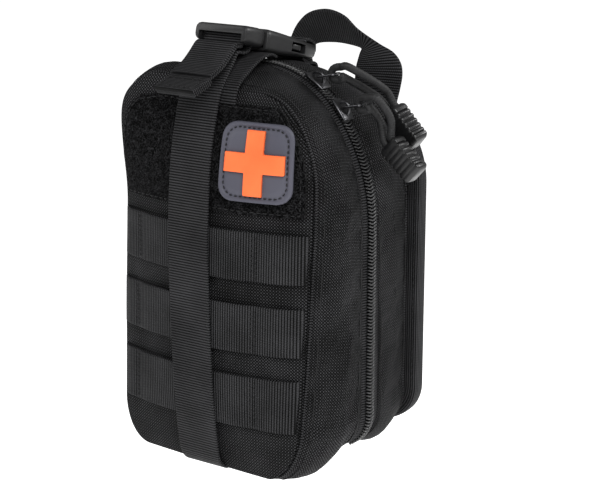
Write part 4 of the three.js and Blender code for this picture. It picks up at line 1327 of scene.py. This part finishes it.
def add_handle():
    """A loop of webbing that rises on the left, tips forward at its crest and folds down to the right."""
    outer = [(-26, 168), (-23, 190), (-17, 210), (-5.6, 222.2), (7.6, 226.4), (19.3, 223.9), (26, 216.5),
             (37.4, 209.5), (46.3, 205.5), (51.4, 200), (52.8, 193.7), (51.7, 186), (49.5, 177), (48, 167.5)]
    inner = [(-1, 168), (-3, 188), (-6, 201), (-2, 206.3), (9, 207.9), (18.8, 207.6), (27.5, 206.3),
             (27.9, 204), (27.2, 201), (25.7, 197), (24.4, 192.7), (23.6, 186), (23, 177), (22.6, 167.5)]

    def crest(k):
        return math.exp(-(((k - 4) / 2.0) ** 4))

    def fold(k):
        return math.exp(-(((k - 8) / 2.2) ** 2))

    y = 52.7
    outer = [(x, y - 7 * crest(k) + 1.0 * fold(k), z) for k, (x, z) in enumerate(outer)]
    inner = [(x, y + 1.0 * crest(k) - 3.0 * fold(k), z) for k, (x, z) in enumerate(inner)]
    outside, inside = smooth_path(np.array(outer) * MM, 14), smooth_path(np.array(inner) * MM, 14)
    middle = (outside + inside) / 2
    spans = outside - inside
    widths = np.linalg.norm(spans, axis=1)
    handle = webbing("carry_handle_webbing", middle, None, side=spans, width=widths, lanes=14)
    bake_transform(handle)
    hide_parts("carry_handle")


# ------------------------------------------------------------------ inside of the bag
def add_inside():
    seam = inset(REAR_STATIONS[-1][1], 1.2 * MM)
    padded_plate("rear_wall_cloth", seam, REAR_SEAM - 2.0 * MM, REAR_SEAM - 0.5 * MM, 0.1 * MM,
                 MATERIALS["nylon"], "rear_half", "nylon_cloth", ["rear_panel"])
    low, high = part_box("rear_loop_field")
    flat_sheet("rear_loop_pile", np.linspace(low.x, high.x, 90), np.linspace(low.z, high.z, 100),
               high.y - 0.3 * MM, low.y, MATERIALS["loop"], "rear_half", "loop_pile", ["rear_loop_field"],
               rough=0.5 * MM)
    box_border(low, high, 2 * MM, high.y + 0.1 * MM, 1, "rear_half")
    low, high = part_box("rear_divider")
    padded_plate("rear_divider_cloth", shape(56, 8, 176, 46, 60, 12), low.y, high.y, 0.15 * MM,
                 MATERIALS["nylon"], "rear_half", "nylon_cloth", ["rear_divider"])
    for i in range(3):
        add_elastic(i)
    add_mesh_pocket()
    add_hinge()


def add_elastic(i):
    """An elastic band stitched down at intervals so that it forms loops."""
    node = f"rear_elastic_band_{i + 1}"
    low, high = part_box(node)
    pitch = (high.x - low.x) / 4
    y = (low.y + high.y) / 2
    path = []
    for x in np.linspace(low.x, high.x, 160):
        bow = abs(math.sin(math.pi * (x - low.x) / pitch)) ** 0.6
        path.append((x, y - 2.2 * MM * bow, (low.z + high.z) / 2))
    webbing(f"elastic_band_{i + 1}", path, "rear_half", side=(0, 0, 1), width=high.z - low.z, thick=1.3 * MM,
            covers=[node], lanes=14)
    for k in range(5):
        x = low.x + k * pitch + (1 - k / 2) * MM
        line = [(x, y - 0.85 * MM, z) for z in np.linspace(low.z + 1 * MM, high.z - 1 * MM, 10)]
        stitch_line("rear_half", line, np.tile((0, -1, 0), (10, 1)), 1.8 * MM, 0.8 * MM)


def add_mesh_pocket():
    low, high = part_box("front_mesh_pocket")
    xs, zs = np.linspace(low.x, high.x, 60), np.linspace(low.z, high.z, 60)
    layer = []
    for z in zs:
        line = []
        for x in xs:
            full = max(0, 1 - (x / high.x) ** 4) * math.sin(math.pi * 0.5 * min(1, (z - low.z) / (50 * MM)))
            wave = 0.5 * MM * math.sin(x / (9 * MM)) * (z - low.z) / (high.z - low.z)
            rise = max(0, low.z + 12 * MM - z)
            corner = 1 - 0.12 * (rise / (12 * MM)) ** 2
            line.append((x * corner, (low.y + high.y) / 2 + 4 * MM * full + wave * full, z))
        layer.append(line)
    Build().grid(np.array(layer)).object("mesh_pocket_cloth", MATERIALS["mesh"], "front_half", "mesh_cloth",
                                         ["front_mesh_pocket"], thickness=0.35 * MM)
    low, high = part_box("front_pocket_hem")
    path = []
    for x in np.linspace(low.x, high.x, 120):
        full = max(0, 1 - (x / high.x) ** 4)
        path.append((x, (low.y + high.y) / 2 + 4 * MM * full, (low.z + high.z) / 2))
    webbing("mesh_pocket_hem", path, "front_half", side=(0, 0, 1), width=high.z - low.z, thick=1.6 * MM,
            covers=["front_pocket_hem"])


def add_hinge():
    """The fold of cloth under the pouch that joins its two halves."""
    low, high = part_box("bottom_hinge_strip")
    reach = 8 * MM
    ys = np.linspace(-ZIP_EDGE - 1 * MM, ZIP_EDGE + 6 * MM, 30)
    xs = np.linspace(low.x - reach, high.x + reach, 90)

    def lift(x, y):
        """The fold's own height: it follows the corner arcs, and the front half's higher edge."""
        arc = 20 * MM - math.sqrt((20 * MM) ** 2 - max(0, abs(x) - 48 * MM) ** 2)
        return arc + 1.4 * MM * smoothstep(-y, -ZIP_EDGE, ZIP_EDGE)

    top = [[(x, y, high.z + lift(x, y) + 0.15 * MM * math.sin(x / (5 * MM))) for x in xs] for y in ys]
    bottom = [[(x, y, low.z + lift(x, y)) for x in xs] for y in ys]
    build = Build()
    layers = [np.array(bottom), np.array(top)]
    build.grid(layers[0])
    build.grid(layers[1])
    rims = [np.vstack([g[0], g[1:, -1], g[-1][::-1][1:], g[1:-1, 0][::-1]]) for g in layers]
    build.grid(np.array(rims), around=True)
    hinge = build.object("bottom_hinge_cloth", MATERIALS["nylon"], None, "nylon_cloth")
    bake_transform(hinge)
    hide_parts("bottom_hinge_strip")


# ------------------------------------------------------------------ camera, light and floor
def add_camera():
    azimuth, elevation, roll = math.radians(34.6), math.radians(14.8), math.radians(0.1)
    back = Vector((math.sin(azimuth) * math.cos(elevation), -math.cos(azimuth) * math.cos(elevation),
                   math.sin(elevation)))
    right = Vector((math.cos(azimuth), math.sin(azimuth), 0))
    up = back.cross(right)
    data = bpy.data.cameras.new("camera")
    data.sensor_width = 36
    data.sensor_fit = "HORIZONTAL"
    data.lens = 99
    data.clip_start, data.clip_end = 0.01, 20
    camera = bpy.data.objects.new("camera", data)
    bpy.context.scene.collection.objects.link(camera)
    place = back * 0.920 + right * 0.0191 + up * 0.1006
    turn = Matrix((right, up, back)).transposed().to_4x4()
    camera.matrix_world = Matrix.Translation(place) @ turn @ Matrix.Rotation(roll, 4, "Z")
    bpy.context.scene.camera = camera


def add_area(name, at, size, power, target=(0, 0, 0.1)):
    data = bpy.data.lights.new(name, "AREA")
    data.energy = power
    data.size = size
    light = bpy.data.objects.new(name, data)
    bpy.context.scene.collection.objects.link(light)
    light.location = at
    light.rotation_euler = (Vector(target) - Vector(at)).to_track_quat("-Z", "Y").to_euler()


def add_studio():
    bpy.context.scene.view_settings.view_transform = "Standard"
    world = bpy.data.worlds.new("studio")
    bpy.context.scene.world = world
    world.use_nodes = True
    tree = world.node_tree
    background = tree.nodes["Background"]
    background.inputs[0].default_value = (1, 1, 1, 1)
    seen = tree.nodes.new("ShaderNodeLightPath")
    strength = tree.nodes.new("ShaderNodeMapRange")
    strength.inputs["To Min"].default_value = 0.22
    strength.inputs["To Max"].default_value = 1.05
    tree.links.new(seen.outputs["Is Camera Ray"], strength.inputs["Value"])
    tree.links.new(strength.outputs[0], background.inputs[1])
    add_area("key", (0.75, -0.75, 1.0), 0.9, 20)
    add_area("fill", (-0.9, -0.8, 0.7), 0.6, 6)
    add_area("rim", (0.9, 0.8, 0.9), 0.5, 12)
    shader = Shader("floor")
    shader.finish((0.95, 0.95, 0.95, 1), 0.8, specular=0.05)
    shader.bsdf.inputs["Emission Color"].default_value = (1, 1, 1, 1)
    shader.bsdf.inputs["Emission Strength"].default_value = 0.85
    mesh = bpy.data.meshes.new("floor")
    reach = 6
    mesh.from_pydata([(-reach, -reach, 0), (reach, -reach, 0), (reach, reach, 0), (-reach, reach, 0)], [],
                     [(0, 1, 2, 3)])
    mesh.materials.append(shader.material)
    floor = bpy.data.objects.new("floor", mesh)
    floor.location.z = -FLOOR_DROP
    bpy.context.scene.collection.objects.link(floor)


# ------------------------------------------------------------------ the whole object
add_bag_halves()
add_front_cover()
add_webbing_rows()
add_loop_field()
add_patch()
add_zip()
add_pulls()
add_buckle()
add_straps()
add_mounting_panel()
add_inside()
finish_stitches()
add_camera()
add_studio()
